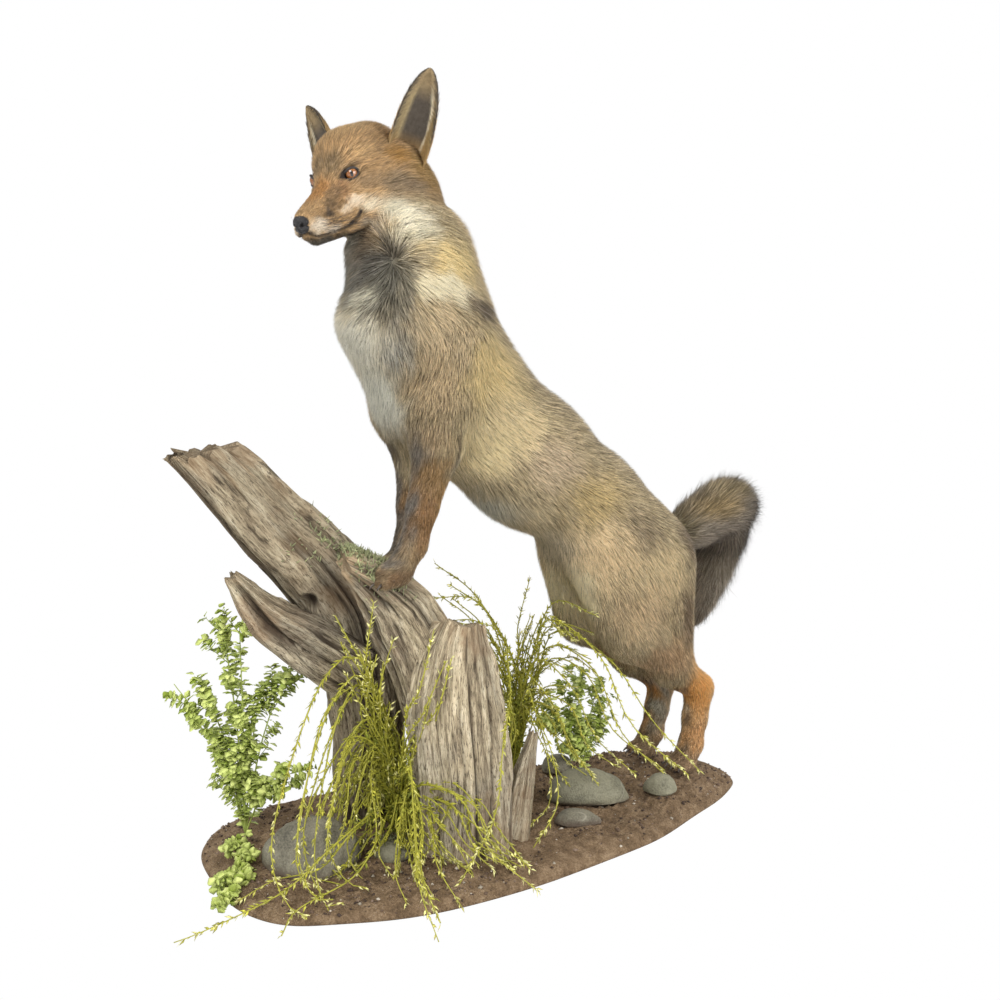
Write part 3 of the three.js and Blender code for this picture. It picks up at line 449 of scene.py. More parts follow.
def timber(
    name, stations, broad_ward, ragged, phase, seed, grid, fresh_ends=0.6, replaces=(), steps=(), dim=0.0,
    holes=(),
):
    """Along a curve through stations of (x, y, z, half breadth, half thickness), each ring is a
    flattened superellipse. Flutes, sharp-edged grooves along the grain, pits and chips are taken off
    its radius, and its end runs out unevenly, in broken `steps` of (from, to, ahead) across it.
    Knot `holes` of (place, radius, depth) are pressed in towards the curve."""
    stations = np.asarray(stations, float)
    rings, around = grid
    centre, place = smooth_path(stations[:, :3], rings)
    half = np.stack([np.interp(place, np.arange(len(stations)), stations[:, k]) for k in (3, 4)], axis=1)
    along = unit(np.gradient(centre, axis=0))
    broad = unit(broad_ward - (along @ np.asarray(broad_ward))[:, None] * along)
    thin = np.cross(along, broad)
    a = np.linspace(0, 2 * np.pi, around, endpoint=False)[None, :]
    run = np.concatenate([[0], np.cumsum(np.linalg.norm(np.diff(centre, axis=0), axis=1))])[:, None]
    share = run / run[-1]
    flute = 1 + 0.07 * np.sin(3 * a + phase + share) + 0.06 * np.sin(7 * a + 2 * phase)
    girth = np.pi * half.mean()
    c, d = np.cos(a), np.sin(a)
    sheet = np.stack(np.broadcast_arrays(0.32 * girth * c, 0.32 * girth * d, 0.12 * run), axis=-1)
    warp = 0.35 * waves(sheet, 60, seed) + 0.12 * waves(sheet, 17, seed + 1)
    relief = np.zeros_like(warp)
    for count, depth in ((5, 1.7), (11, 1.7), (19, 1.2), (37, 0.7)):
        crest = np.abs(np.sin(0.5 * count * a + 3 * warp * count / 11 + seed + count))
        relief -= depth * (1 - crest) ** 2 * (0.7 + 0.3 * waves(sheet, 24, seed + count))
    split = waves(sheet * [1, 1, 0.25], 15, seed + 7)
    crack = (1 - smooth(np.abs(split), 0.03, 0.16)) * smooth(waves(sheet, 50, seed + 8), -0.1, 0.5)
    relief -= CRACK_DEPTH * crack
    layer = 2.4 * waves(sheet * [1, 1, 0.3], 34, seed + 14)
    step = np.floor(layer)
    relief += LAYER_STEP * (step + smooth(layer - step, 0.42, 0.58) - 0.4 * layer)
    knot = smooth(waves(sheet * [1, 1, 0.6], 27, seed + 13), 1.15, 1.5)
    relief -= KNOT_DEPTH * knot
    relief += 0.65 * waves(sheet, 11, seed + 9)
    relief += 2.0 * smooth(waves(sheet * [1, 1, 0.5], 20, seed + 10), 0.5, 0.6)
    room = smooth(half.min(axis=1)[:, None], 4, 16)
    push = flute + room * relief / np.maximum(half.mean(axis=1)[:, None], 6)
    reach_broad = half[:, :1] * push * np.sign(c) * np.abs(c) ** 0.8
    reach_thin = half[:, 1:] * push * np.sign(d) * np.abs(d) ** 0.8
    torn = ragged * (0.8 * np.sin(4.4 * a + phase) + 0.5 * waves(sheet, 6, seed + 11))
    for low, high, ahead in steps:
        begin, end = (smooth(c, edge - 0.07, edge + 0.07) for edge in (low, high))
        torn = torn + ahead * (begin - end)
    torn = torn * (smooth(share, 0.86, 1) - smooth(1 - share, 0.97, 1) * 0.2)
    surface = (
        centre[:, None]
        + reach_broad[..., None] * broad[:, None]
        + reach_thin[..., None] * thin[:, None]
        + torn[..., None] * along[:, None]
    )
    # Painted shade: the deeper a groove or crack, and in the knot holes, the darker the wood's colour.
    groove = np.clip(-relief / 5.0 - 0.12, 0, 1) * room
    for hole, radius, depth in holes:
        pit = np.exp(-((np.linalg.norm(surface - hole, axis=-1) / radius) ** 4))
        surface = surface + (depth * pit)[..., None] * unit(centre[:, None] - surface)
        groove = np.maximum(groove, 1.15 * pit)
    surface[..., 2] = np.maximum(surface[..., 2], 0.5)
    fresh = fresh_ends * smooth(share + 0.04 * waves(sheet, 12, seed + 12), 0.93, 0.99)
    grain = {"across": a * girth / np.pi, "along": run, "groove": groove, "fresh": fresh, "dim": dim}
    grain = {key: with_hubs(np.broadcast_to(values, relief.shape)) for key, values in grain.items()}
    faces = closed_grid(rings, around)
    return piece(name, with_hubs(surface), faces, wood.material, "weathered_wood", replaces, **grain)


SLAB_FACE, STUMP_FACE = (0.25, 0.6, 0.75), (0.485, 0.875, 0)
KNOT = (-20, -272, 280)
# The slab and the spur are darkened with painted shade.
timber(
    "driftwood_slab",
    [
        [-48, -197, 2, 42, 30], [-48, -196, 110, 38, 27], [-49, -205, 180, 41, 27],
        [-49, -222, 258, 44, 28], [-48, -268, 322, 42, 30], [-44, -310, 363, 40, 27],
        [-39, -350, 408, 36, 20], [-34, -386, 445, 31, 13],
    ],
    SLAB_FACE, 3.5, 0.6, 101, replaces=["driftwood"], grid=(170, 150),
    steps=[(-1.2, -0.3, 13), (-0.3, 0.05, 0), (0.08, 0.2, -16), (0.2, 0.75, -6), (0.75, 1.2, -24)],
    dim=0.32, holes=[(KNOT, 10, 12)],
)
timber(
    "driftwood_spur",
    [[-32, -215, 200, 36, 26], [-30, -279, 247, 30, 24], [-29, -313, 270, 24, 18], [-28, -352, 314, 8, 7]],
    SLAB_FACE, 3, 2.0, 131, grid=(80, 110), dim=0.14, holes=[(KNOT, 9, 9)],
)
timber(
    "driftwood_shelf",
    [
        [44, -120, 60, 34, 38], [30, -135, 140, 36, 42], [14, -150, 215, 38, 46], [2, -175, 268, 36, 50],
        [0, -203, 302, 24, 48], [-2, -238, 330, 8, 40],
    ],
    (0.36, 0.66, 0.66), 4, 1.2, 151, fresh_ends=1.0, grid=(130, 120),
)
timber(
    "driftwood_stump",
    [
        [80, -128, 2, 50, 46], [78, -130, 100, 50, 42], [72, -134, 170, 50, 35], [66, -131, 225, 38, 27],
        [62, -124, 258, 24, 15],
    ],
    STUMP_FACE, 4, 3.1, 171, fresh_ends=0.35, grid=(140, 140),
)
timber(
    "driftwood_shard", [[75, -81, 2, 22, 26], [60, -58, 60, 15, 18], [38, -23, 118, 5, 5]],
    STUMP_FACE, 4, 0.4, 191, fresh_ends=0.3, grid=(60, 90),
)


# ------------------------------------------------------------------ the fox's skin
# A tanned red fox skin, glued over a carved body of the same tapered forms as the solids. It is one
# closed surface from the nose to the tip of the tail, with sockets for the glass eyes and a groove for
# the mouth, and it carries the markings of the coat.

Form = namedtuple("Form", "part a ra b rb coat wide side blend lie")
FORMS = []


def form(part, a, ra, b, rb, coat, wide=1.0, side=(1, 0, 0), blend=20, lie=None):
    """A capsule from a to b of radius ra to rb under a coat of some depth, `wide` times as broad
    across `side`, which melts into the forms before it. Its hair lies along `lie`."""
    a, b = np.asarray(a, float), np.asarray(b, float)
    lie = unit(np.asarray(b - a if lie is None else lie, float))
    FORMS.append(Form(part, a, ra, b, rb, coat, wide, np.asarray(side, float), blend, lie))


def on_head_way(way):
    """A direction of the head's frame in the fox's frame."""
    return np.asarray(way, float) @ HEAD_AXES


def head_form(a, ra, b, rb, coat, wide=1.0, blend=12, lie=(0, 1, 0.05)):
    """A form of the head, given in the head's own frame."""
    form("head", on_head(a), ra, on_head(b), rb, coat, wide, HEAD_AXES[0], blend, on_head_way(lie))


form("chest", (0, -142, 580), 62, (0, -106, 510), 62, 22, wide=0.87)
form("chest", (0, -106, 510), 62, (0, -7, 434), 59, 20, wide=0.87, blend=24)
form("loin", (0, -7, 434), 58, (0, 76, 381), 49, 18, wide=0.92, blend=24)
form("rump", (0, 76, 381), 50, (0, 160, 320), 46, 16, blend=24)
form("chest", (0, -172, 570), 40, (0, -150, 512), 30, 20, blend=24)
form("chest", (-6, -214, 587), 14, (14, -214, 585), 14, 16, blend=26, lie=(0, -0.45, -1))
form("neck", (0, -149, 602), 46, (0, -158, 655), 45, 25, blend=30, lie=(0, 14, -55))
nape = on_head((0, 62, -18))
form("neck", (0, -158, 655), 45, nape, 32, 21, blend=26, lie=np.array([0, -166, 655]) - nape)

head_form((0, 30, 13), 31, (0, 62, 13), 32, 8, wide=1.1, lie=(0, 1, 0))
head_form((0, 2, 1), 19, (0, 30, 13), 26, 4, wide=1.15)
head_form((0, -2, -10), 17, (0, -63, -28), 9, 2)
head_form((0, 25, -36), 17, (0, -54, -48), 6, 3, wide=0.95, lie=(0, 1, -0.15))
for s in (-1, 1):
    head_form((s * 8, -60, -38.5), 7.5, (s * 16, -16, -37), 10.5, 2, blend=8, lie=(0.1 * s, 1, -0.1))
    head_form((s * 16, -16, -37), 10.5, (s * 27, 20, -34), 15, 5, blend=10, lie=(0.3 * s, 1, -0.2))
    head_form((s * 23, 2, -14), 9, (s * 36, 40, -12), 15, 5, lie=(0.3 * s, 1, -0.2))
    head_form((s * 26, 28, -28), 18, (s * 34, 58, -24), 23, 12, lie=(0.35 * s, 0.9, -0.45))
    head_form((s * 32, 54, -3), 12, (s * 40, 78, -2), 10, 4, lie=(0.5 * s, 0.9, 0.2))
    head_form((s * 24, 65, -8), 25, (s * 29, 71, -29), 29, 13, blend=16, lie=(0.1 * s, 0.7, -0.8))


def toes(part, knuckles, reach):
    """Four toes fanned out ahead of a paw."""
    for place in (-1.5, -0.5, 0.5, 1.5):
        start = knuckles + np.array([place * 7.5, abs(place) * 2.5, 0])
        end = start + reach + np.array([place * 1.5, abs(place) * 1.5, 0])
        form(part, start, 6.5, end, 5.5, 2.5, blend=3)
        CLAWS.append((start, end))


CLAWS = []
FORELEGS = {
    1: ((45, -148, 450), (38, -174, 345), (37, -191, 317)),
    -1: ((-40, -134, 448), (-28, -150, 345), (-27, -163, 318)),
}
for s, joints in FORELEGS.items():
    elbow, wrist, paw = (np.array(joint, float) for joint in joints)
    taper = elbow + 0.62 * (wrist - elbow)
    form("chest", (s * 40, -128, 560), 32, (s * 44, -146, 495), 29, 14, blend=24)
    form("foreleg", (s * 44, -146, 495), 27, elbow, 21, 9, blend=14)
    form("foreleg", elbow, 21, taper, 13, 5, blend=10)
    form("foreleg", taper, 13, wrist, 12, 4, blend=8)
    form("foreleg", wrist, 11.5, paw, 11.5, 4, blend=8)
    form("foreleg", paw, 11, paw + [0, -12, -4], 11, 4, wide=1.25, blend=8)
    toes("foreleg", paw + [0, -12, -6], np.array([0, -13, -4]))

HINDLEGS = {
    1: ((30, 118, 322), (44, 112, 226), (36, 226, 143), (36, 214, 72), (36, 203, 54)),
    -1: ((-30, 106, 318), (-44, 103, 234), (-37, 224, 138), (-37, 208, 70), (-38, 196, 53)),
}
for s, joints in HINDLEGS.items():
    hip, knee, hock, heel, paw = (np.array(joint, float) for joint in joints)
    shank = hock + 0.55 * (heel - hock)
    fold_lie = (0, 30, -70)
    form("thigh", (s * 29, 64, 314), 24, (s * 38, 92, 246), 19, 12, wide=0.8, blend=34, lie=fold_lie)
    form("thigh", hip, 47, knee, 27, 12, wide=0.8, blend=24, lie=knee - hip + [0, 50, 0])
    form("thigh", (s * 30, 172, 300), 34, hock + 0.42 * (knee - hock), 20, 10, wide=0.85, blend=20)
    form("hindleg", knee, 25, hock, 13.5, 6, wide=0.9, blend=12, lie=hock - knee - [0, 60, 40])
    form("hindleg", hock, 14.5, shank, 12, 4.5, blend=8)
    form("hindleg", shank, 12, heel, 11, 4, blend=8)
    form("hindleg", heel, 11, paw, 11.5, 4, wide=1.15, blend=8)
    toes("hindleg", paw + [0, -4, -3], np.array([0, -13, -2]))

# The brush: a thin tail inside long hair, whose reach is the last number of each stop.
TAIL = np.array(
    [
        [0, 200, 332, 26], [0, 250, 352, 34], [-3, 295, 372, 39], [-12, 319, 373, 39],
        [-26, 315, 328, 35], [-38, 305, 275, 28], [-48, 298, 235, 18], [-52, 294, 213, 6],
    ]
)
TAIL_FLESH = 0.26
for start, end in zip(TAIL[:-1], TAIL[1:]):
    coat = (1 - TAIL_FLESH) * (start[3] + end[3]) / 2
    form("tail", start[:3], TAIL_FLESH * start[3], end[:3], TAIL_FLESH * end[3], coat, blend=8)

COAT_IN_SKIN = 0.5


def form_distance(f, x, y, z):
    """How far a point is outside one form's skin: its distance to the axis, with the part across
    `side` divided by `wide`, less the radius there and the thickness of the hide and underfur."""
    ab, side = f.b - f.a, f.side
    qx, qy, qz = x - f.a[0], y - f.a[1], z - f.a[2]
    t = np.clip((qx * ab[0] + qy * ab[1] + qz * ab[2]) / max(ab @ ab, 1e-6), 0, 1)
    qx, qy, qz = qx - t * ab[0], qy - t * ab[1], qz - t * ab[2]
    if f.wide != 1:
        across = (qx * side[0] + qy * side[1] + qz * side[2]) * (1 / f.wide - 1)
        qx, qy, qz = qx + across * side[0], qy + across * side[1], qz + across * side[2]
    away = np.sqrt(qx * qx + qy * qy + qz * qz)
    return (away - f.ra - t * (f.rb - f.ra) - COAT_IN_SKIN * f.coat) * min(1, f.wide)


def melt(d, e, blend):
    """The smooth union of two distances."""
    h = np.maximum(blend - np.abs(d - e), 0) / blend
    return np.minimum(d, e) - h * h * blend / 4


def dig(d, e, blend):
    """The smooth cut of what is inside e out of d."""
    return -melt(-d, e, blend)


EYE_WAY = {s: on_head_way((0.66 * s, -0.74, 0.06)) for s in (-1, 1)}
EYE_AT = {1: on_head(EYE), -1: on_head((-22.5, -0.5, 4))}


def flesh_distance(points):
    """The signed distance to the skin, form after form, without the eyes' openings and the mouth."""
    x, y, z = points.T
    d = np.full(len(points), 1e3)
    for f in FORMS:
        d = melt(d, form_distance(f, x, y, z), f.blend)
    return d


def slope_of(distance, points, step=0.4):
    """The way in which a distance grows fastest, from differences along the three axes."""
    shifts = np.eye(3) * step
    return np.stack([distance(points + s) - distance(points - s) for s in shifts], axis=1) / (2 * step)


def onto_flesh(points):
    """Moves points along the distance's gradient until they lie on its zero surface."""
    for _ in range(4):
        points = points - flesh_distance(points)[:, None] * unit(slope_of(flesh_distance, points))
    return points


UP = HEAD_AXES[2]
MOUTH_BEND = np.array(
    [
        [0, -72, -41], [8, -68, -43], [12, -56, -46], [16, -44, -47], [20, -32, -45.5], [26, -20, -39.5],
        [32, -11, -33],
    ]
)
MOUTH_HALVES = [onto_flesh(on_head(MOUTH_BEND * [s, 1, 1])) for s in (-1, 1)]
MOUTH_SPANS = [span for half in MOUTH_HALVES for span in zip(half[:-1], half[1:])]


def mouth_distances(start_radius, end_radius, x, y, z):
    """The distances to a thin tube round each span of the line between the lips."""
    for a, b in MOUTH_SPANS:
        yield form_distance(Form("lips", a, start_radius, b, end_radius, 0, 1, UP, 0, UP), x, y, z)


def eye_frame(s):
    """The eye's own directions: the way it looks, up the lids, and along them."""
    way = EYE_WAY[s]
    lid = unit(UP - (UP @ way) * way)
    return way, lid, np.cross(lid, way)


LID_SLANT = 0.16


def carve(d, x, y, z):
    """Cuts the eyes' openings, which are slanted ellipsoids, and the groove between the lips."""
    for s in (-1, 1):
        way, lid, corner = eye_frame(s)
        place = EYE_AT[s] + 9 * way
        qx, qy, qz = x - place[0], y - place[1], z - place[2]
        out, up, along = (qx * axis[0] + qy * axis[1] + qz * axis[2] for axis in (way, lid, corner))
        up = up - LID_SLANT * s * along
        hollow = np.sqrt((along / 8.0) ** 2 + (up / 5.6) ** 2 + (out / 13) ** 2) - 1
        d = dig(d, 5.6 * hollow, 1.5)
    for groove in mouth_distances(1.5, 1.5, x, y, z):
        d = dig(d, groove, 1.6)
    return d


def skin_distance(points):
    """The signed distance of points to the skin."""
    return carve(flesh_distance(points), *points.T)


def grid_lines(*stops):
    """Grid lines from the first stop to the last; each stop is (where, step up to the next)."""
    spans = zip(stops[:-1], stops[1:])
    lines = [np.arange(int(round((b - a) / step))) * step + a for (a, step), (b, _) in spans]
    return np.concatenate(lines).astype(np.float32)


FACE_REAR, FACE_FOOT = -150, 640
WIDEST_BLEND = 34


def skin_net():
    """The zero surface on a grid of cells: each cell that it crosses has one vertex, at the middle
    of its crossed edges, and each crossed edge has the quad of the four cells round it."""
    xs = grid_lines((-152, 3.6), (-70, 2.9), (100, 3.6), (152, 3.6))
    ys = grid_lines((-345, 2.0), (-165, 4.8), (400, 4.8))
    zs = grid_lines((16, 4.5), (655, 2.0), (830, 2.0))
    values = np.full((len(xs), len(ys), len(zs)), 1e3, np.float32)
    for f in FORMS:
        reach = max(f.ra, f.rb) * max(f.wide, 1) + f.coat + WIDEST_BLEND
        low, high = np.minimum(f.a, f.b) - reach, np.maximum(f.a, f.b) + reach
        cut = tuple(slice(*np.searchsorted(line, (low[k], high[k]))) for k, line in enumerate((xs, ys, zs)))
        x, y, z = np.ix_(xs[cut[0]], ys[cut[1]], zs[cut[2]])
        values[cut] = melt(values[cut], form_distance(f, x, y, z), f.blend).astype(np.float32)
    rear, foot = np.searchsorted(ys, FACE_REAR), np.searchsorted(zs, FACE_FOOT)
    face = values[:, :rear, foot:]
    face[:] = carve(face, *np.ix_(xs, ys[:rear], zs[foot:]))
    inside = values < 0
    corners = [(i, j, k) for i in (0, 1) for j in (0, 1) for k in (0, 1)]
    count = np.zeros([n - 1 for n in values.shape], np.int8)
    for c in corners:
        count += inside[tuple(slice(o, n - 1 + o) for o, n in zip(c, values.shape))]
    cells = np.argwhere((count > 0) & (count < 8))
    number = np.full(count.shape, -1, np.int32)
    number[tuple(cells.T)] = np.arange(len(cells))
    total, crossings = np.zeros((len(cells), 3)), np.zeros(len(cells))
    for c in corners:
        for axis in range(3):
            if c[axis]:
                continue
            d = tuple(v + (k == axis) for k, v in enumerate(c))
            p, q = cells + c, cells + d
            vp, vq = values[tuple(p.T)], values[tuple(q.T)]
            crossed = (vp < 0) != (vq < 0)
            t = np.where(crossed, vp / np.where(crossed, vp - vq, 1), 0)[:, None]
            start = np.stack([xs[p[:, 0]], ys[p[:, 1]], zs[p[:, 2]]], axis=1)
            end = np.stack([xs[q[:, 0]], ys[q[:, 1]], zs[q[:, 2]]], axis=1)
            total += np.where(crossed[:, None], start + t * (end - start), 0)
            crossings += crossed
    points = total / crossings[:, None]
    quads = []
    for axis in range(3):
        one = np.eye(3, dtype=int)[axis]
        b, c = np.eye(3, dtype=int)[(axis + 1) % 3], np.eye(3, dtype=int)[(axis + 2) % 3]
        near = inside[tuple(slice(0, n - o) for n, o in zip(inside.shape, one))]
        far = inside[tuple(slice(o, None) for o in one)]
        edge = np.argwhere(near != far)
        edge = edge[((edge - b - c) >= 0).all(axis=1)]
        quad = np.stack([number[tuple((edge - o).T)] for o in (b + c, c, 0 * c, b)], axis=1)
        outward = near[tuple(edge.T)]
        quads.append(np.where(outward[:, None], quad, quad[:, ::-1]))
    return points, np.concatenate(quads)


skin_points, skin_faces = skin_net()
for _ in range(2):
    slope = slope_of(skin_distance, skin_points)
    move = -skin_distance(skin_points) / np.maximum((slope**2).sum(axis=1), 0.2)
    skin_points = skin_points + np.clip(move, -2, 2)[:, None] * slope

# Markings as soft spots: a place, a reach each way, and a colour. Those of the body are the same on
# both sides, and those of the head lie in the head's own frame.
BODY_MARKS = [
    ((0, 0, 480), (400, 900, 900), (0.4, 0.32, 0.19)),
    # Down the spine: the back's own dark grey-brown, deepened with painted shade against the light that falls
    # on the back from above.
    ((0, -104, 604), (44, 42, 36), (0.2, 0.155, 0.105)),
    ((0, -62, 562), (44, 42, 36), (0.22, 0.175, 0.12)),
    ((0, -20, 524), (44, 42, 36), (0.23, 0.19, 0.13)),
    ((0, 20, 490), (44, 42, 36), (0.23, 0.19, 0.135)),
    ((0, 60, 462), (44, 42, 36), (0.23, 0.195, 0.14)),
    ((0, 100, 432), (44, 42, 36), (0.24, 0.2, 0.14)),
    ((0, 140, 400), (44, 42, 36), (0.24, 0.195, 0.135)),
    ((80, -88, 526), (60, 50, 48), (0.8, 0.63, 0.32)),
    ((75, -60, 476), (52, 50, 40), (0.66, 0.54, 0.32)),
    ((68, -100, 444), (44, 46, 38), (0.95, 0.79, 0.46)),
    ((75, -12, 430), (52, 44, 38), (0.48, 0.38, 0.25)),
    ((70, 48, 388), (60, 46, 36), (0.46, 0.35, 0.17)),
    ((75, 104, 344), (46, 42, 40), (0.3, 0.235, 0.145)),
    ((60, 62, 318), (52, 48, 42), (0.8, 0.62, 0.37)),
    ((70, 145, 290), (50, 44, 46), (0.68, 0.54, 0.32)),
    ((62, 112, 250), (50, 50, 40), (0.52, 0.39, 0.23)),
    # The inner thighs: their own cream, made paler with painted light where the hind legs shade each other.
    ((0, 80, 262), (34, 60, 50), (1.0, 0.84, 0.54)),
    ((28, 50, 286), (26, 25, 48), (1.05, 0.92, 0.6)),
    ((0, -60, 378), (50, 60, 26), (0.42, 0.4, 0.32)),
    ((0, 30, 330), (50, 50, 28), (0.52, 0.44, 0.3)),
    ((60, 190, 240), (40, 24, 44), (0.2, 0.14, 0.085)),
    ((35, 200, 330), (50, 28, 32), (0.17, 0.125, 0.08)),
    ((80, -165, 566), (50, 50, 40), (0.57, 0.45, 0.28)),
    ((80, -168, 512), (45, 40, 40), (0.48, 0.365, 0.215)),
    ((14, -208, 498), (38, 40, 50), (0.8, 0.78, 0.66)),
    ((64, -132, 428), (22, 16, 24), (0.36, 0.31, 0.21)),
    ((66, -135, 458), (18, 6, 28), (0.09, 0.065, 0.04)),
    ((70, -200, 575), (16, 20, 34), (0.3, 0.26, 0.19)),
    ((56, -203, 546), (18, 20, 28), (0.42, 0.39, 0.32)),
    ((16, -230, 562), (42, 30, 40), (1.3, 1.25, 1.05)),
    ((0, -110, 660), (56, 42, 60), (0.42, 0.3, 0.16)),
    ((66, -124, 666), (34, 30, 38), (0.4, 0.32, 0.18)),
    ((50, -216, 625), (42, 44, 50), (0.18, 0.165, 0.125)),
    ((10, -242, 636), (18, 20, 44), (0.2, 0.2, 0.18)),
    ((22, -238, 646), (34, 24, 42), (0.17, 0.155, 0.125)),
    ((38, -236, 650), (18, 22, 34), (0.12, 0.11, 0.09)),
    ((60, -214, 658), (24, 24, 16), (0.15, 0.125, 0.09)),
    ((36, -232, 606), (24, 20, 14), (0.46, 0.43, 0.33)),
    ((77, -134, 647), (34, 38, 24), (0.86, 0.68, 0.34)),
    ((79, -152, 618), (32, 34, 16), (1.15, 1.04, 0.75)),
    ((74, -180, 676), (30, 26, 18), (0.48, 0.44, 0.32)),
    ((64, -184, 697), (26, 28, 17), (0.76, 0.7, 0.54)),
    # A dark band behind the neck ruff: partly the darker hair of the withers, partly painted shade under the
    # ruff.
    ((68, -92, 602), (46, 38, 13), (0.14, 0.108, 0.072)),
]
LEG_MARKS = [
    ((66, -172, 466), (40, 40, 30), (0.46, 0.34, 0.2)),
    ((45, -165, 375), (60, 40, 60), (0.315, 0.178, 0.078)),
    ((62, -164, 420), (26, 22, 22), (0.32, 0.2, 0.09)),
    ((45, -183, 436), (50, 13, 42), (0.2, 0.17, 0.135)),
    ((45, -190, 388), (50, 13, 44), (0.21, 0.185, 0.155)),
    ((42, -200, 344), (50, 12, 34), (0.21, 0.18, 0.145)),
    ((20, -176, 432), (14, 24, 22), (0.62, 0.52, 0.33)),
    ((45, -146, 400), (50, 12, 45), (0.38, 0.235, 0.1)),
    ((40, -200, 312), (60, 40, 14), (0.2, 0.12, 0.06)),
    ((45, 160, 190), (50, 60, 30), (0.4, 0.26, 0.14)),
    ((45, 215, 142), (50, 32, 42), (0.8, 0.4, 0.12)),
    ((45, 192, 105), (50, 9, 60), (0.14, 0.1, 0.07)),
    ((45, 214, 82), (50, 24, 36), (0.6, 0.34, 0.15)),
    ((20, 205, 116), (14, 30, 50), (0.42, 0.38, 0.29)),
    ((45, 190, 45), (60, 50, 20), (0.32, 0.21, 0.12)),
]
TAIL_MARKS = [
    ((0, 290, 300), (200, 120, 200), (0.2, 0.165, 0.122)),
    ((0, 205, 345), (60, 34, 40), (0.13, 0.1, 0.045)),
    ((14, 262, 374), (50, 46, 24), (0.29, 0.21, 0.1)),
    ((8, 295, 400), (50, 44, 20), (0.26, 0.2, 0.105)),
    ((14, 296, 330), (40, 60, 22), (0.18, 0.145, 0.108)),
    # Painted light: a pale spot that lightens the brush where the rump shades it.
    ((-20, 292, 282), (60, 60, 22), (0.36, 0.3, 0.22)),
    ((0, 340, 350), (60, 18, 60), (0.07, 0.056, 0.045)),
    # Painted light: a pale spot on the lower brush, in the rump's shade.
    ((-38, 296, 250), (60, 60, 50), (0.42, 0.36, 0.28)),
]
HEAD_MARKS = [
    ((0, 40, 20), (300, 300, 300), (0.42, 0.27, 0.13)),
    ((0, 38, 46), (30, 36, 16), (0.48, 0.32, 0.155)),
    ((9, -8, 18), (14, 22, 15), (0.27, 0.185, 0.095)),
    ((32, 12, 24), (16, 18, 10), (0.44, 0.29, 0.14)),
    ((0, -32, -4), (15, 36, 13), (0.43, 0.225, 0.08)),
    ((19, -18, -8), (11, 13, 11), (0.36, 0.21, 0.1)),
    ((15, -24, -10), (8, 11, 9), (0.27, 0.17, 0.085)),
    ((16, -33, -18), (8, 11, 10), (0.24, 0.155, 0.08)),
    ((40, 6, -4), (18, 20, 11), (0.36, 0.24, 0.125)),
    ((60, 28, -12), (20, 24, 14), (0.27, 0.195, 0.115)),
    ((73, 46, -21), (18, 20, 13), (0.25, 0.18, 0.11)),
    ((70, 12, -38), (32, 26, 17), (0.66, 0.62, 0.48)),
    ((84, 34, -38), (18, 22, 12), (0.5, 0.45, 0.32)),
    ((46, -4, -27), (18, 14, 9), (0.8, 0.7, 0.52)),
    ((29, -12, -21), (9, 9, 6.5), (0.95, 0.8, 0.6)),
    ((22, -22, -28), (7, 9, 6), (0.92, 0.77, 0.57)),
    ((13, -59, -37), (12, 14, 9.5), (0.66, 0.56, 0.43)),
    ((17, -44, -43), (9, 12, 6.5), (0.6, 0.5, 0.38)),
    ((16, -41, -27), (6, 8, 6.5), (0.11, 0.078, 0.05)),
    ((0, -54, -55), (24, 34, 9), (0.105, 0.09, 0.068)),
    ((0, 12, -62), (46, 46, 22), (0.15, 0.135, 0.105)),
    ((42, -8, -47), (16, 14, 8), (0.42, 0.34, 0.24)),
    ((58, -14, -58), (20, 20, 9), (0.19, 0.16, 0.11)),
    ((19, -11, 4), (6, 5, 5), (0.12, 0.08, 0.05)),
    ((24, 3, 13.5), (12, 7, 4), (0.18, 0.115, 0.06)),
    ((53, 50, 14), (16, 18, 14), (0.36, 0.2, 0.06)),
    ((64, 74, -10), (22, 26, 32), (0.31, 0.19, 0.06)),
]
DARK_SKIN = (0.022, 0.016, 0.013)


def lay(tone, share, colour):
    """A tone, moved by a share from 0 to 1 towards a colour."""
    return tone + share[..., None] * (np.asarray(colour) - tone)


def dab(colour, points, marks, edge=4.4):
    """Lays soft spots over a colour. Each covers exp(-(d / 0.9)^edge) of it, where d is the distance
    from the spot's place in terms of its reach."""
    for place, reach, tone in marks:
        away = np.linalg.norm((points - place) / np.asarray(reach, float), axis=1)
        colour = lay(colour, np.exp(-((away / 0.9) ** edge)), tone)
    return colour


def part_shares(points):
    """For each point, how much it belongs to each form: a share that falls off with the distance to
    the form, over 4 mm."""
    x, y, z = points.T
    away = np.stack([form_distance(f, x, y, z) for f in FORMS], axis=1)
    share = np.exp(-(away - away.min(axis=1, keepdims=True)) / 4)
    return share / share.sum(axis=1, keepdims=True)


def in_head(points):
    """Places of the fox's frame in the head's frame, with both sides folded onto its left."""
    local = (points - HEAD_AT) @ HEAD_AXES.T
    return local * np.where(local[:, :1] < 0, [[-1.0, 1, 1]], [[1.0, 1, 1]])


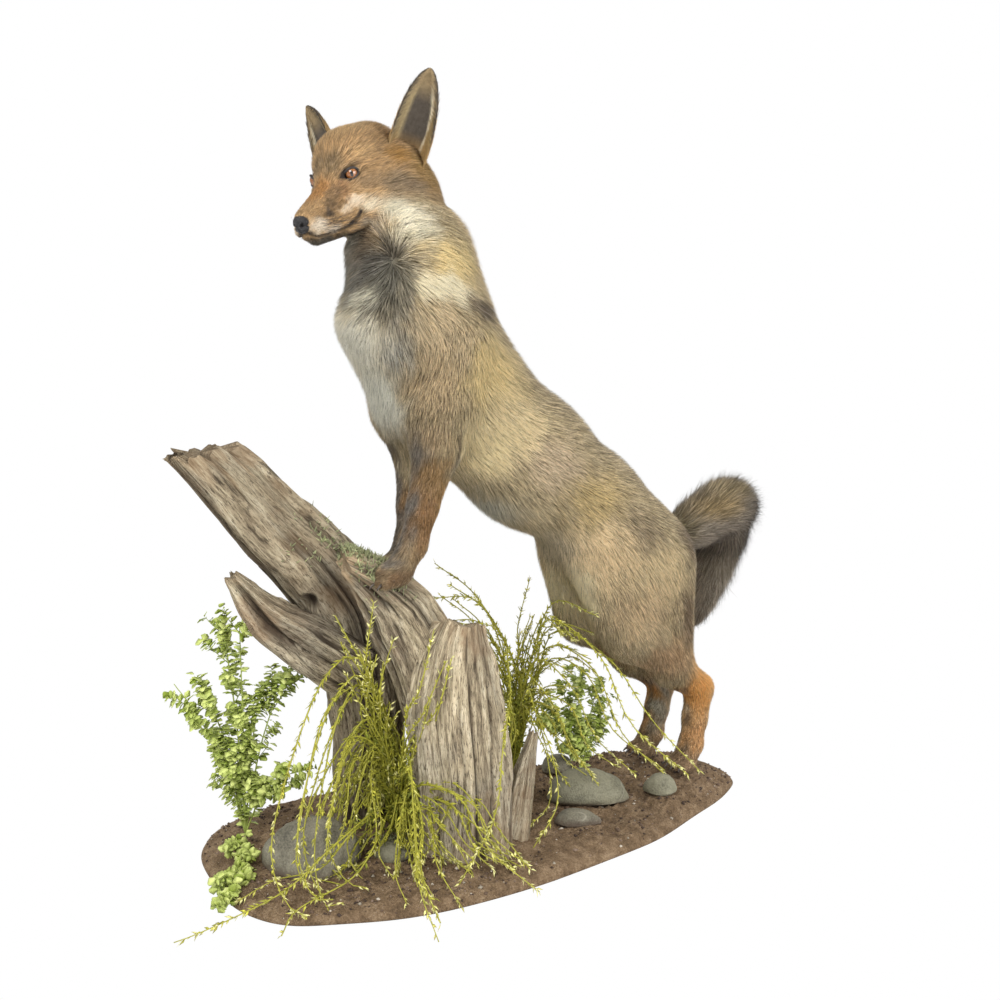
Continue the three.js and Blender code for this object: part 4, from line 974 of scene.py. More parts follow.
def markings(points, shares):
    """The colour of the coat at points: the colours of body, legs, tail and head, shared out as
    the forms are, with smooth drifts of tone."""
    folded = np.abs(points) * [1, 0, 0] + points * [0, 1, 1]
    folded = folded + 5 * np.stack([waves(points, 26, k) for k in (31, 32, 33)], axis=1)
    head = in_head(points)
    head = head + 1.2 * np.stack([waves(points, 11, k) for k in (34, 35, 36)], axis=1)
    plain = np.zeros((len(points), 3))
    tones = {
        "body": dab(plain, folded, BODY_MARKS, 3.2),
        "tail": dab(plain, points, TAIL_MARKS),
        "head": dab(plain, head, HEAD_MARKS),
    }
    straight = folded.copy()
    straight[:, 1] -= (14 + 0.1 * (450 - points[:, 2])) * (points[:, 0] < 0) * (points[:, 1] < 0)
    tones["leg"] = dab(tones["body"], straight, LEG_MARKS, 3.2)
    wearer = {"head": "head", "tail": "tail", "foreleg": "leg", "hindleg": "leg", "thigh": "leg"}
    colour = sum(shares[:, [i]] * tones[wearer.get(f.part, "body")] for i, f in enumerate(FORMS))
    return colour * (1 + 0.09 * waves(points, 9, 37) + 0.07 * waves(points, 4, 38))[:, None]


def bare_rims(points):
    """Black bare skin at the lids, with a tear corner that runs forwards."""
    head = in_head(points)
    lids = np.linalg.norm((head - [23.5, -7, 4]) / [9, 8, 7.6], axis=1)
    tear = np.linalg.norm((head - [16.5, -12.5, 1.5]) / [4, 5, 2.6], axis=1)
    return np.maximum(1 - smooth(lids, 0.85, 1.12), 1 - smooth(tear, 0.6, 1.1))


def lip_line(points, low, high):
    """How near points are to the line between the lips: 1 up to `low`, and 0 from `high`."""
    x, y, z = points.T
    near = np.min(list(mouth_distances(0.3, 0.9, x, y, z)), axis=0)
    return 1 - smooth(near, low, high)


UNDERFUR_SHADE = 0.62
skin_shares = part_shares(skin_points)
skin_rims = np.maximum(bare_rims(skin_points), lip_line(skin_points, 0.6, 2.0))
skin_tint = lay(markings(skin_points, skin_shares) * UNDERFUR_SHADE, skin_rims, DARK_SKIN)

hide = Finish("hide_with_underfur", roughness=0.85, Specular_IOR_Level=0.2)
nap = hide.noise(900, detail=2)
hide.wear(
    hide.mix(0.5, hide.read("tint"), hide.noise(260, detail=3), "OVERLAY"), bump=nap, depth=0.0008
)
BODY_PARTS = "head neck chest loin rump tail foreleg forepaw hindleg hindfoot".split()
BODY_NODES = [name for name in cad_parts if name.split("_")[0] in BODY_PARTS]
piece("skin", skin_points, skin_faces, hide.material, "russet_coat", BODY_NODES, tint=skin_tint)


# ------------------------------------------------------------------ the coat
# Winter fur in thin overlapping locks that lie along the body, back from the nose and down the legs.
# It is long on the neck, the chest and the brush, and short and close on the face and the feet. Locks
# are dark at the root, partly from the darker underfur and partly as painted shade deep in the coat,
# and on the back many have a sooty or a pale tip.


def fold(v, n):
    """What is left of vectors v across unit vectors n, as unit vectors."""
    return unit(v - (v * n).sum(axis=1, keepdims=True) * n)


def locks(root, normal, way, length, lift, width, settle=None):
    """Pointed three-sided locks, closed at the root. The tip is `length` along `way` from the root,
    and raised by `lift` over it, or over the skin, whose distance `settle` tells."""
    side = np.cross(normal, way)
    length, lift, width = (np.broadcast_to(v, len(root))[:, None] for v in (length, lift, width))
    foot, tip = root - 0.5 * normal, root + length * way
    rise = lift if settle is None else lift - settle(tip)[:, None]
    ridge = foot + 0.8 * width * normal
    points = np.stack([foot + width * side, ridge, foot - width * side, tip + rise * normal], axis=1)
    faces = np.array([[2, 1, 0], [0, 1, 3], [1, 2, 3], [2, 0, 3]])
    return points, (faces[None] + 4 * np.arange(len(root))[:, None, None]).reshape(-1, 3)


fur = Finish("fur", roughness=0.72, Specular_IOR_Level=0.25)
strands = fur.noise(700, detail=2)
fur.wear(fur.mix(0.35, fur.read("tint"), strands, "OVERLAY"))
BAKE_PATCH = 0.003


def coat_piece(name, points, faces, tint, place, slot="russet_coat"):
    """One mesh of locks. Its map gives each lock a small patch at its root's place on the unwrap of
    the skin: along the patch from root to tip, and across it from edge to edge."""
    made = piece(name, points.reshape(-1, 3), faces, fur.material, slot, tint=tint.reshape(-1, 3))
    within = BAKE_PATCH * np.array([[-0.5, -0.5], [0, -0.5], [0.5, -0.5], [0, 0.5]])
    patch = np.clip(place, 0.002, 0.998)[:, None] + within
    layer = made.data.uv_layers.new(name="OFBake")
    layer.data.foreach_set("uv", patch.reshape(-1, 2)[faces.ravel()].astype(np.float32).ravel())
    return made


def unwrap(points, owner):
    """A place between 0 and 1 each way: each form has a band, in which the turn round the form's
    axis runs across and the way along the axis runs up."""
    owners = np.unique(owner)
    place = np.zeros((len(points), 2))
    for band, which in enumerate(owners):
        mine = owner == which
        f = FORMS[which]
        q, axis = points[mine] - f.a, unit(f.b - f.a)
        first = unit(f.side - (f.side @ axis) * axis + 1e-6)
        second = np.cross(axis, first)
        turn = np.arctan2(q @ second, q @ first) / (2 * np.pi) + 0.5
        along = np.clip((q @ axis) / np.linalg.norm(f.b - f.a) * 0.6 + 0.2, 0, 1)
        place[mine] = np.stack([turn, (band + along) / len(owners)], axis=1)
    return place


# For each part of the coat: locks to a square millimetre, half their width, and their length and lift
# as shares of the coat's depth.
COATS = {
    "head": (1.3, 0.3, 1.4, 0.5),
    "neck": (0.62, 0.5, 0.74, 0.46),
    "chest": (0.47, 0.55, 0.85, 0.45),
    "loin": (0.5, 0.54, 0.8, 0.45),
    "rump": (0.52, 0.52, 0.8, 0.45),
    "thigh": (0.4, 0.52, 1.0, 0.45),
    "foreleg": (0.56, 0.44, 1.4, 0.42),
    "hindleg": (0.5, 0.45, 1.4, 0.42),
    "tail": (0.72, 0.5, 0.95, 0.52),
}
WHORL = np.array([64.0, -208.0, 632.0])
draw = np.random.default_rng(7)

skin_normals = unit(slope_of(skin_distance, skin_points))
coats = np.array([COATS[f.part] for f in FORMS])
depths = np.array([f.coat for f in FORMS])
lies = np.array([f.lie for f in FORMS])
skin_data = np.column_stack([skin_normals, skin_shares @ lies, skin_shares @ depths, skin_rims])
triangles = np.concatenate([skin_faces[:, [0, 1, 2]], skin_faces[:, [0, 2, 3]]])
a, b, c = (skin_points[triangles[:, k]] for k in range(3))
area = np.linalg.norm(np.cross(b - a, c - a), axis=1) / 2
thick = (skin_shares @ coats[:, 0])[triangles].mean(axis=1) * (skin_rims[triangles].max(axis=1) < 0.55)
many = (area * thick + draw.uniform(0, 1, len(area))).astype(int)
home = np.repeat(np.arange(len(area)), many)
first, second = draw.uniform(0, 1, (2, len(home)))
over = first + second > 1
first, second = np.where(over, 1 - first, first), np.where(over, 1 - second, second)
weigh = np.stack([1 - first - second, first, second], axis=1)
corners = triangles[home]


def spread(values):
    """Values at the roots: those of each root's three corners, by its weights."""
    return (values[corners] * weigh[..., None]).sum(axis=1)


roots, data = spread(skin_points), spread(skin_data)
owner = skin_shares.argmax(axis=1)[corners[:, 0]]
normal, coat_depth, rims = unit(data[:, :3]), data[:, 6], data[:, 7]

# The way of the hair: the forms' own lies, a whorl on the left of the throat, and small drifts.
drift = np.stack([waves(roots, 21, 41), waves(roots, 21, 42), waves(roots, 21, 43)], axis=1)
drift += 0.7 * np.stack([waves(roots, 6, 44), waves(roots, 6, 45), waves(roots, 6, 46)], axis=1)
away = roots - WHORL
swirl = np.exp(-((np.linalg.norm(away, axis=1) / 64) ** 2))[:, None]
way = unit(data[:, 3:6]) + 2.0 * swirl * unit(away) + 0.15 * drift
brush = np.array([f.part == "tail" for f in FORMS])[owner][:, None]
way = fold(way + (0.1 + 0.2 * brush) * draw.normal(size=way.shape), normal)


# A lock takes its colour from the markings where it is seen, some way along it. Locks shade each
# other, so they are brighter than the markings, up to a cap.
LOCK_BRIGHTNESS, ROOT_CAP, TIP_CAP = 1.29, 0.93, 0.96
LIP_BLACK = (0.05, 0.036, 0.028)
stretch, lift = coats[owner, 2], coats[owner, 3]
long = (stretch * coat_depth + 1.2) * draw.lognormal(0, 0.16, len(roots)) * (1 - 0.5 * rims)
guard = 1 + 0.55 * brush[:, 0] * (draw.uniform(0, 1, len(roots)) > 0.84)
long *= guard
seen = roots + 0.6 * long[:, None] * way + (0.5 * coat_depth)[:, None] * normal
lips = lip_line(roots + 0.4 * long[:, None] * way, 1.1, 3.2)
tint = lay(markings(seen, part_shares(seen)) * LOCK_BRIGHTNESS, lips, LIP_BLACK)
tint *= (draw.lognormal(0, 0.17 + 0.1 * (coat_depth > 6)) * (1 + 0.13 * waves(roots, 6, 39)))[:, None]
dorsal = smooth(normal[:, 1] * 0.5 + normal[:, 2], 0.1, 0.9) * (coat_depth > 9)
fate = draw.uniform(0, 1, len(roots))
sooty = (fate < 0.12 + 0.32 * dorsal)[:, None]
pale = (fate > 0.85 - 0.2 * dorsal)[:, None]
sooty |= (guard > 1.1)[:, None]
tip = np.where(sooty, tint * 0.3, np.where(pale, tint * 1.5 + 0.1, tint * 1.12))
tint /= np.maximum(tint.max(axis=1, keepdims=True) / ROOT_CAP, 1)
tip /= np.maximum(tip.max(axis=1, keepdims=True) / TIP_CAP, 1)
# The root ends of the locks are darker: partly the underfur's own tone, partly painted shade deep in the
# coat.
root_shade_share = 0.3 + 0.66 * tint.mean(axis=1, keepdims=True)

MOST_TRIANGLES = 190000
for part, (_, width, _, _) in COATS.items():
    of_part = np.array([f.part == part for f in FORMS])[owner]
    side_names = {"": of_part}
    if 4 * of_part.sum() > MOST_TRIANGLES:
        side_names = {"_left": of_part & (roots[:, 0] > 0), "_right": of_part & (roots[:, 0] <= 0)}
    for suffix, mine in side_names.items():
        mine = np.flatnonzero(mine)
        high = (lift * coat_depth * guard)[mine] * draw.uniform(0.75, 1.15, len(mine))
        breadth = width * draw.uniform(0.7, 1.3, len(mine))
        points, faces = locks(roots[mine], normal[mine], way[mine], long[mine], high, breadth, flesh_distance)
        tones = np.stack([(tint * root_shade_share)[mine]] * 3 + [tip[mine]], axis=1)
        coat_piece("coat_" + part + suffix, points, faces, tones, unwrap(roots[mine], owner[mine]))


# ------------------------------------------------------------------ ears
# Cupped leaves of cartilage under thin skin. Each is dark grey-brown in its hollow, has pale hair
# along its front and a cream rim behind, and its back is ochre below and sooty above.

EAR_LENGTH, EAR_HALF_WIDTH, EAR_SKIN = 97.0, 26.0, 3.6
EAR_TIP = {1: (85, 90, 88), -1: (-88, 88, 80)}
EAR_OPENS = {1: (0.62, -0.78, 0), -1: (-0.22, -0.98, 0)}


def ear_surface(s, u, turn, inner):
    """A leaf's wall at u from root to tip and `turn` from -1 to 1 across. The section is an arc,
    nearly a tube at the root and flatter towards the tip, whose breadth swells and then runs out."""
    half = np.radians(105 + (52 - 105) * u)
    breadth = EAR_HALF_WIDTH * np.maximum(1 - u, 0.004) ** 0.6 * (0.8 + 0.75 * u)
    radius = breadth / np.maximum(np.sin(np.minimum(half, np.pi / 2)), 0.3)
    wall = np.minimum(EAR_SKIN, radius * 0.5) * (1 - 0.75 * np.abs(turn) ** 4)
    r = (radius - wall * inner)[..., None]
    axis = unit(on_head_way((0.46 * s, 0.2, 0.865)))
    open_way = on_head_way(EAR_OPENS[s])
    open_way = unit(open_way - (open_way @ axis) * axis)
    side = np.cross(open_way, axis)
    root = on_head(EAR_TIP[s]) - EAR_LENGTH * axis
    a = (turn * half)[..., None]
    centre = root + EAR_LENGTH * u[..., None] * axis
    return centre + r * np.sin(a) * side + (0.6 * radius[..., None] - r * np.cos(a)) * open_way


def ear_tone(s, u, turn, inner):
    """The ear's colour by place, laid on in turn: pale hair at its front edge, a cream line along the
    rear one, ochre behind that and at the foot, tan at the tip, its back, and a dark edge."""
    front = turn * s
    line = 0.4 + 0.46 * smooth(u, 0.05, 0.6)
    behind = smooth(-front, line + 0.07, line + 0.12)
    back = lay(np.array([0.46, 0.3, 0.13]), smooth(u, 0.45, 0.8), [0.1, 0.075, 0.05])
    tone = np.broadcast_to([0.1, 0.082, 0.064], (*front.shape, 3))
    for share, colour in (
        (smooth(front, 0.3, 0.62), [0.42, 0.33, 0.18]),
        (smooth(-front, line - 0.07, line) * (1 - behind), [0.8, 0.7, 0.5]),
        (behind, [0.36, 0.25, 0.11]),
        (0.75 * (1 - smooth(u, 0.1, 0.34)), [0.38, 0.23, 0.085]),
        (smooth(u, 0.62, 0.86), [0.3, 0.22, 0.12]),
        (1 - inner, back),
        (smooth(np.abs(turn), 0.965, 1.0) * smooth(u, 0.1, 0.4), [0.05, 0.04, 0.032]),
    ):
        tone = lay(tone, share, colour)
    return tone


def ear_hair(s, count, inner, lift, long, seed):
    """Short hairs from random places of one wall. They point to the tip outside, and inside they
    stand in from both edges and lean to the tip."""
    draw = np.random.default_rng(seed)
    u = draw.uniform(0.0, 0.985, count)
    turn = draw.uniform(-1, 1, count)
    if inner:
        turn = np.sign(turn) * np.abs(turn) ** 0.3
    wall = np.full(count, float(inner))
    root = ear_surface(s, u, turn, wall)
    up = unit(ear_surface(s, np.minimum(u + 0.01, 1), turn, wall) - root + 1e-7)
    across = unit(ear_surface(s, u, np.minimum(turn + 0.01, 1.01), wall) - root + 1e-7)
    out = unit(np.cross(across, up))
    middle = ear_surface(s, u, turn * 0, wall * 0 + 0.5) - ear_surface(s, u, turn * 0, wall * 0)
    sense = np.sign((out * middle).sum(axis=1)) * (1 if inner else -1)
    out = out * sense[:, None]
    way = up + (-0.9 * np.sign(turn) * np.abs(turn) ** 2 * inner)[:, None] * across
    way = fold(way + 0.16 * draw.normal(size=way.shape), out)
    size = draw.lognormal(0, 0.2, count) * (1 - 0.7 * smooth(u, 0.7, 1))
    size = size * (1 - 0.75 * inner * (1 - smooth(np.abs(turn), 0.5, 0.85)))
    tone = ear_tone(s, u, turn, wall) * draw.lognormal(0, 0.16, count)[:, None]
    points, faces = locks(root, out, way, long * size, lift * size, 0.42)
    tones = np.stack([tone * 0.6] * 3 + [tone * 1.2], axis=1)
    return points, faces, tones, np.stack([0.5 + 0.48 * turn, (u + 0.02) * 0.48 + 0.5 * inner], axis=1)


for s, name in ((1, "left"), (-1, "right")):
    rings, across = 72, 40
    over = np.linspace(-1, 1, across)
    u, turn, inner = np.broadcast_arrays(
        np.linspace(0, 1, rings)[:, None], np.concatenate([over, over[::-1]]), np.repeat([0.0, 1.0], across)
    )
    grid = ear_surface(s, u, turn, inner)
    around = 2 * across
    k = np.arange(across - 1)
    foot = np.stack([k + 1, k, around - 1 - k, around - 2 - k], axis=1)
    top = foot[:, ::-1] + (rings - 1) * around
    faces = np.concatenate([closed_grid(rings, around)[0], foot, top])
    tone = ear_tone(s, u, turn, inner).reshape(-1, 3) * 0.75
    leaf = "ear_leaf_" + name
    piece(leaf, grid.reshape(-1, 3), faces, hide.material, "dark_coat", ["ear_" + name], tint=tone)
    sets = [ear_hair(s, 5000, 0, 1.5, 7.0, 51 + s), ear_hair(s, 5200, 1, 1.6, 7.5, 61 + s)]
    points = np.concatenate([item[0] for item in sets])
    locked = np.concatenate([sets[0][1], sets[1][1] + 4 * len(sets[0][0])])
    tones, place = (np.concatenate([item[i] for item in sets]) for i in (2, 3))
    coat_piece("coat_ear_" + name, points, locked, tones, place, slot="dark_coat")


# ------------------------------------------------------------------ eyes
# Glass eyes, set deep in the skull behind black-rimmed lids. The iris is amber with darker rays and
# a dark rim, round a pupil that is an upright slit.

EYE_RADIUS, CORNEA = 8.4, 0.09
glass = Finish("glass_eye", roughness=0.08, Coat_Weight=0.6, Coat_Roughness=0.04, Specular_IOR_Level=0.6)
ray = glass.read("turn", 2)
off = glass.read("off", 2)
fleck = glass.noise(1.0, at=glass.node("CombineXYZ", inputs={0: ray * 9.0, 1: off * 1.5, 2: 0.0}), detail=4)
dark_ray, rust, honey = (0.085, 0.026, 0.007), (0.25, 0.085, 0.02), (0.42, 0.185, 0.05)
amber = glass.ramp(fleck, (0.3, dark_ray), (0.5, rust), (0.7, honey))
amber = glass.mix(glass.read("pupil", 2), amber, (0.004, 0.003, 0.002))
amber = glass.mix(off.rises(0.66, 0.82), amber, (0.012, 0.008, 0.006))
glass.wear(amber)
LID_HALF_LENGTH, LID_HALF_HEIGHT, LID_THICKNESS = 7.7, 5.4, 1.05
lid_skin = Finish("eye_lid", roughness=0.5, Base_Color=(0.02, 0.015, 0.012, 1))

for s, name in ((1, "left"), (-1, "right")):
    way, lid, corner = eye_frame(s)
    off_axis = np.linspace(0, np.pi, 60)[1:-1, None]
    turn = np.linspace(0, 2 * np.pi, 96, endpoint=False)[None, :]
    bulge = 1 + CORNEA * np.exp(-((off_axis / 0.55) ** 2))
    sphere = (
        np.cos(off_axis)[..., None] * way
        + (np.sin(off_axis) * np.cos(turn))[..., None] * corner
        + (np.sin(off_axis) * np.sin(turn))[..., None] * lid
    )
    grid = EYE_AT[s] + EYE_RADIUS * bulge[..., None] * sphere
    over = np.sin(off_axis)
    slit = np.sqrt((over * np.cos(turn) / 0.17) ** 2 + (over * np.sin(turn) / 0.36) ** 2)
    pupil = 1 - smooth(slit, 0.85, 1.15)
    pupil[len(off_axis) // 2 :] = 1
    points = with_hubs(grid)
    points[-2:] = EYE_AT[s] + EYE_RADIUS * np.array([(1 + CORNEA) * way, -way])
    iris = {"turn": np.abs(turn - np.pi) / np.pi, "off": off_axis, "pupil": pupil}
    iris = {key: with_hubs(np.broadcast_to(values, grid.shape[:2])) for key, values in iris.items()}
    faces = closed_grid(*grid.shape[:2])
    piece("glass_eye_" + name, points, faces, glass.material, "glass_eye", ["eye_" + name], **iris)

    # The lids: a fleshy rim round an almond, pressed to the ball, drawn out at its front corner.
    stops = np.linspace(0, 2 * np.pi, 90, endpoint=False)
    cos, sin = np.cos(stops), np.sin(stops)
    wide = LID_HALF_LENGTH * cos * (1 + 0.26 * smooth(-s * cos, 0.55, 1.0))
    high = LID_HALF_HEIGHT * sin * np.where(sin > 0, 1.0, 0.92) * (1 - 0.25 * np.abs(cos) ** 3)
    high = high + LID_SLANT * s * wide
    rise = np.sqrt(np.maximum(EYE_RADIUS**2 - np.minimum(wide**2 + high**2, 64), 1.0)) + 0.75
    rim = EYE_AT[s] + wide[:, None] * corner + high[:, None] * lid + rise[:, None] * way
    ahead = unit(np.roll(rim, -1, axis=0) - np.roll(rim, 1, axis=0))
    out = fold(rim - EYE_AT[s], ahead)
    third = np.cross(ahead, out)
    a = np.linspace(0, 2 * np.pi, 12, endpoint=False)
    thick = LID_THICKNESS * (1 + 0.35 * np.maximum(sin, 0))
    ring = (
        rim[:, None]
        + (thick[:, None] * np.cos(a))[..., None] * out[:, None]
        + (0.9 * thick[:, None] * np.sin(a))[..., None] * third[:, None]
    )
    n, m = ring.shape[:2]
    r, k = np.meshgrid(m * np.arange(n), np.arange(m), indexing="ij")
    next_r, next_k = (r + m) % (n * m), (k + 1) % m
    faces = np.stack([r + k, next_r + k, next_r + next_k, r + next_k], axis=-1)
    piece("lids_" + name, ring.reshape(-1, 3), faces.reshape(-1, 4), lid_skin.material, "nose_leather")


# ------------------------------------------------------------------ nose
# A leathery pad, black and finely pebbled, with two nostrils that curl back at its sides and a
# groove down its middle.

NOSE_AT, NOSE_HALF_SIZE = np.array([0, -67.8, -31.6]), [9.6, 8.2, 9.4]
ball = ball_grid(60, 90)
pad = np.sign(ball) * np.abs(ball) ** 0.88
across, back, high = np.moveaxis(pad, -1, 0)
side_on = np.abs(across)
nostril = ((side_on - 0.5) / 0.25) ** 2 + ((high + 0.02 - 0.35 * (side_on - 0.5)) / 0.3) ** 2
slot = ((side_on - 0.83) / 0.28) ** 2 + ((high + 0.22) / 0.13) ** 2
front = smooth(-back, 0.1, 0.4)
dent = 0.42 * np.exp(-(nostril**2)) * front + 0.2 * np.exp(-slot) * smooth(-back, -0.25, 0.1)
dent = dent + 0.1 * np.exp(-((across / 0.07) ** 2)) * front * smooth(-high, -0.5, 0)
grid = NOSE_AT + pad * (1 - dent)[..., None] * NOSE_HALF_SIZE
grid[..., 2] -= 1.2 * smooth(-back, 0.4, 1) * (high > 0)
leather = Finish("nose_leather", roughness=0.42, Specular_IOR_Level=0.5)
cells = {"Vector": leather.place(), "Scale": 1100.0}
pebbles = leather.node("TexVoronoi", {"feature": "DISTANCE_TO_EDGE"}, cells)
leather.wear(
    leather.ramp(leather.noise(160), (0.35, (0.012, 0.011, 0.012)), (0.7, (0.035, 0.031, 0.03))),
    roughness=leather.noise(300) * 0.3 + 0.28, bump=pebbles.rises(0.0, 0.25), depth=0.0005,
)
points = on_head(with_hubs(grid))
piece("nose_pad", points, closed_grid(*grid.shape[:2]), leather.material, "nose_leather", ["nose"])


# ------------------------------------------------------------------ claws and whiskers
# Dark horn claws, one at the end of each toe, and stiff black whiskers on both sides of the muzzle.


def strung(rings, start, end, order=1):
    """Many closed skins in one mesh: for each, rings of points between a start and an end. An order
    of -1 turns the faces over."""
    many, count, around = rings.shape[:3]
    points = np.concatenate([rings.reshape(many, -1, 3), start[:, None], end[:, None]], axis=1)
    shift = (count * around + 2) * np.arange(many)[:, None, None]
    parts = closed_grid(count, around)
    faces = [(part[None, :, ::order] + shift).reshape(-1, part.shape[1]) for part in parts]
    return points.reshape(-1, 3), faces


def tubes(centre, girth, end, lean, around):
    """Round tubes about rows of points: rings of radius `girth`, square to the row, whose first
    point lies across `lean`."""
    along = unit(np.gradient(centre, axis=1))
    first = unit(np.cross(along, lean))
    second = np.cross(along, first)
    a = np.linspace(0, 2 * np.pi, around, endpoint=False)[:, None]
    rings = centre[:, :, None] + girth * (np.cos(a) * first[:, :, None] + np.sin(a) * second[:, :, None])
    return strung(rings, centre[:, 0], end)


def spines(root, tip, sag, radius, rings, around):
    """Tapered curved spines, closed at both ends: a parabola from root to tip, bent by `sag` at its
    middle, with a radius that falls as the square root of what is left."""
    t = np.linspace(0, 0.97, rings)[None, :, None]
    centre = root[:, None] + t * (tip - root)[:, None] + 4 * t * (1 - t) * sag[:, None]
    girth = radius[:, None, None, None] * np.sqrt(1 - t[..., None])
    return tubes(centre, girth, tip, [0.31, 0.2, 0.93], around)


starts, stops = (np.array([toe[i] for toe in CLAWS]) for i in (0, 1))
ahead = unit(stops - starts)
root = stops + 3.5 * ahead + [0, 0, 1.0]
tip = root + 9.5 * ahead + [0, 0, -3.4]
points, faces = spines(root, tip, np.tile([0, -0.6, 1.5], (len(root), 1)), np.full(len(root), 1.9), 10, 10)
horn = Finish("horn", roughness=0.35)
horn.wear(horn.ramp(horn.noise(260), (0.35, (0.02, 0.014, 0.01)), (0.7, (0.09, 0.065, 0.045))))
piece("claws", points, faces, horn.material, "nose_leather")

draw = np.random.default_rng(71)
roots, tips = [], []
for s in (-1, 1):
    count = 16
    row = draw.uniform(0, 1, count)
    at = np.stack([s * (11.5 + 4.5 * row), -62 + 24 * row, -35 + draw.uniform(-5, 4, count)], axis=1)
    fan = np.stack([s * (0.6 + 0.25 * row), 0.5 + 0.5 * row, draw.uniform(-0.2, 0.3, count)], axis=1)
    roots.append(on_head(at))
    tips.append(on_head(at + unit(fan) * draw.uniform(24, 50, (count, 1))))
roots, tips = np.concatenate(roots), np.concatenate(tips)
points, faces = spines(roots, tips, np.tile([0, 0, -2.5], (len(roots), 1)), np.full(len(roots), 0.24), 8, 4)
bristle = Finish("whisker", roughness=0.4, Base_Color=(0.02, 0.016, 0.014, 1))
piece("whiskers", points, faces, bristle.material, "dark_coat")


# ------------------------------------------------------------------ moss
# Dry grey-green reindeer moss, glued in tufts on the shelf beside the forepaws and at the feet of
# the wood.


def bed_on(name, seed, count, centre, spread):
    """Places on an object's upper faces near a centre: the face centres whose normals point up,
    drawn at random and thinned by a bell curve round the centre."""
    mesh = bpy.data.objects[name].data
    middle, normal = np.zeros((2, len(mesh.polygons) * 3))
    mesh.polygons.foreach_get("center", middle)
    mesh.polygons.foreach_get("normal", normal)
    middle, normal = middle.reshape(-1, 3) * 1000 - HOME, normal.reshape(-1, 3)
    near = np.exp(-(((middle - centre) / spread) ** 2).sum(axis=1)) * (normal[:, 2] > 0.25)
    draw = np.random.default_rng(seed)
    pick = draw.choice(len(near), count, p=near / near.sum())
    return middle[pick] + draw.normal(0, 0.8, (count, 3)), normal[pick]


draw = np.random.default_rng(81)
beds = [
    bed_on("driftwood_shelf", 82, 900, (-14, -232, 338), (18, 24, 18)),
    bed_on("driftwood_shelf", 83, 500, (8, -205, 312), (30, 22, 16)),
    bed_on("driftwood_slab", 84, 260, (-40, -262, 340), (30, 26, 20)),
    bed_on("soil", 85, 240, (30, -200, 26), (16, 40, 16)),
    bed_on("soil", 86, 160, (-60, -170, 26), (40, 40, 16)),
]
root, normal = (np.concatenate([bed[i] for bed in beds]) for i in (0, 1))
way = unit(normal + [0, 0, 0.5] + 0.9 * draw.normal(size=root.shape))
points, faces = spines(
    root, root + way * draw.uniform(2.5, 7.5, (len(root), 1)), draw.normal(0, 0.9, root.shape),
    draw.uniform(0.6, 1.15, len(root)), 2, 4,
)
tone = np.array([0.27, 0.29, 0.14]) * draw.lognormal(0, 0.28, len(root))[:, None]
tone += draw.uniform(0, 0.12, len(root))[:, None] * [1.0, 0.95, 0.7]
moss = Finish("moss", roughness=0.95)
moss.wear(moss.read("tone"))
piece("moss", points, faces, moss.material, "artificial_leaf", tone=np.repeat(tone, 10, axis=0))


# ------------------------------------------------------------------ artificial plants
# Soft plastic greenery on wire stems pushed into the base: two clumps of drooping strands set with
# small needle leaves, olive with pale tips, and two lime sprigs with rounded leaves.

LOWEST_STEM, LOWEST_TWIG = 6.0, 8.0
TWIGS_ON_WIRE, LEAVES_ON_WIRE = 9, 260
c, s = math.cos(ACROSS), math.sin(ACROSS)
STRAND_WARD = np.array([[c, s, 0], [s, -c, 0], [0, 0, 1]])


def stem_points(root, knots, count=40):
    """Even points on the smooth curve from the root through knots of (sideways, ahead, up)."""
    curve, _ = smooth_path(np.array([[0, 0, -6], *knots], float) @ STRAND_WARD + root, 200)
    run = np.concatenate([[0], np.cumsum(np.linalg.norm(np.diff(curve, axis=0), axis=1))])
    curve[:, 2] = np.maximum(curve[:, 2], LOWEST_STEM)
    even = np.linspace(0, run[-1], count)
    return np.stack([np.interp(even, run, curve[:, k]) for k in range(3)], axis=1), run[-1]


def wires(curves, radius, ends, around=5):
    """Round tubes along curves of the same number of points, tapering from radius to ends."""
    centre = np.stack(curves)
    girth = np.linspace(radius, ends, centre.shape[1])[None, :, None, None]
    return tubes(centre, girth, centre[:, -1], [0.35, 0.25, 0.9], around)


DROOP = 0.18


def blades(root, way, up, length, breadth, outline, thick=0.22, cup=0.15):
    """Flat closed leaves of the same outline, rows of (along, half breadth) between two points. Each
    has a raised midrib line, sides that cup upwards, and an upper and a lower face."""
    side = np.cross(way, up)
    along, half = np.array(outline, float).T
    span, up = length[:, None, None], up[:, None]
    spine = root[:, None] + along[:, None] * span * way[:, None] - DROOP * (along**2)[:, None] * span * up
    h = half[:, None] * breadth[:, None, None]
    left = spine + h * side[:, None] + cup * h * up
    right = spine - h * side[:, None] + cup * h * up
    rings = np.stack([left, spine + 0.5 * thick * up, right, spine - thick * up], axis=2)
    tip = root + length[:, None] * (way - DROOP * up[:, 0])
    return strung(rings, root, tip, order=-1)


def joined_piece(name, lots, material, slot, replaces=()):
    """One mesh from several lots of (points, faces, tone)."""
    points, quads, tris, tones, first = [], [], [], [], 0
    for p, f, tone in lots:
        points.append(p)
        for part in f:
            (quads if part.shape[1] == 4 else tris).append(part + first)
        tones.append(np.broadcast_to(tone, p.shape))
        first += len(p)
    faces = [np.concatenate(group) for group in (quads, tris) if group]
    return piece(name, np.concatenate(points), faces, material, slot, replaces, tone=np.concatenate(tones))


def lucky(n):
    """A number between 0 and 1 that looks random and is always the same for the same n."""
    v = math.sin(n * 12.9898 + 4.1414) * 43758.5453
    return v - math.floor(v)


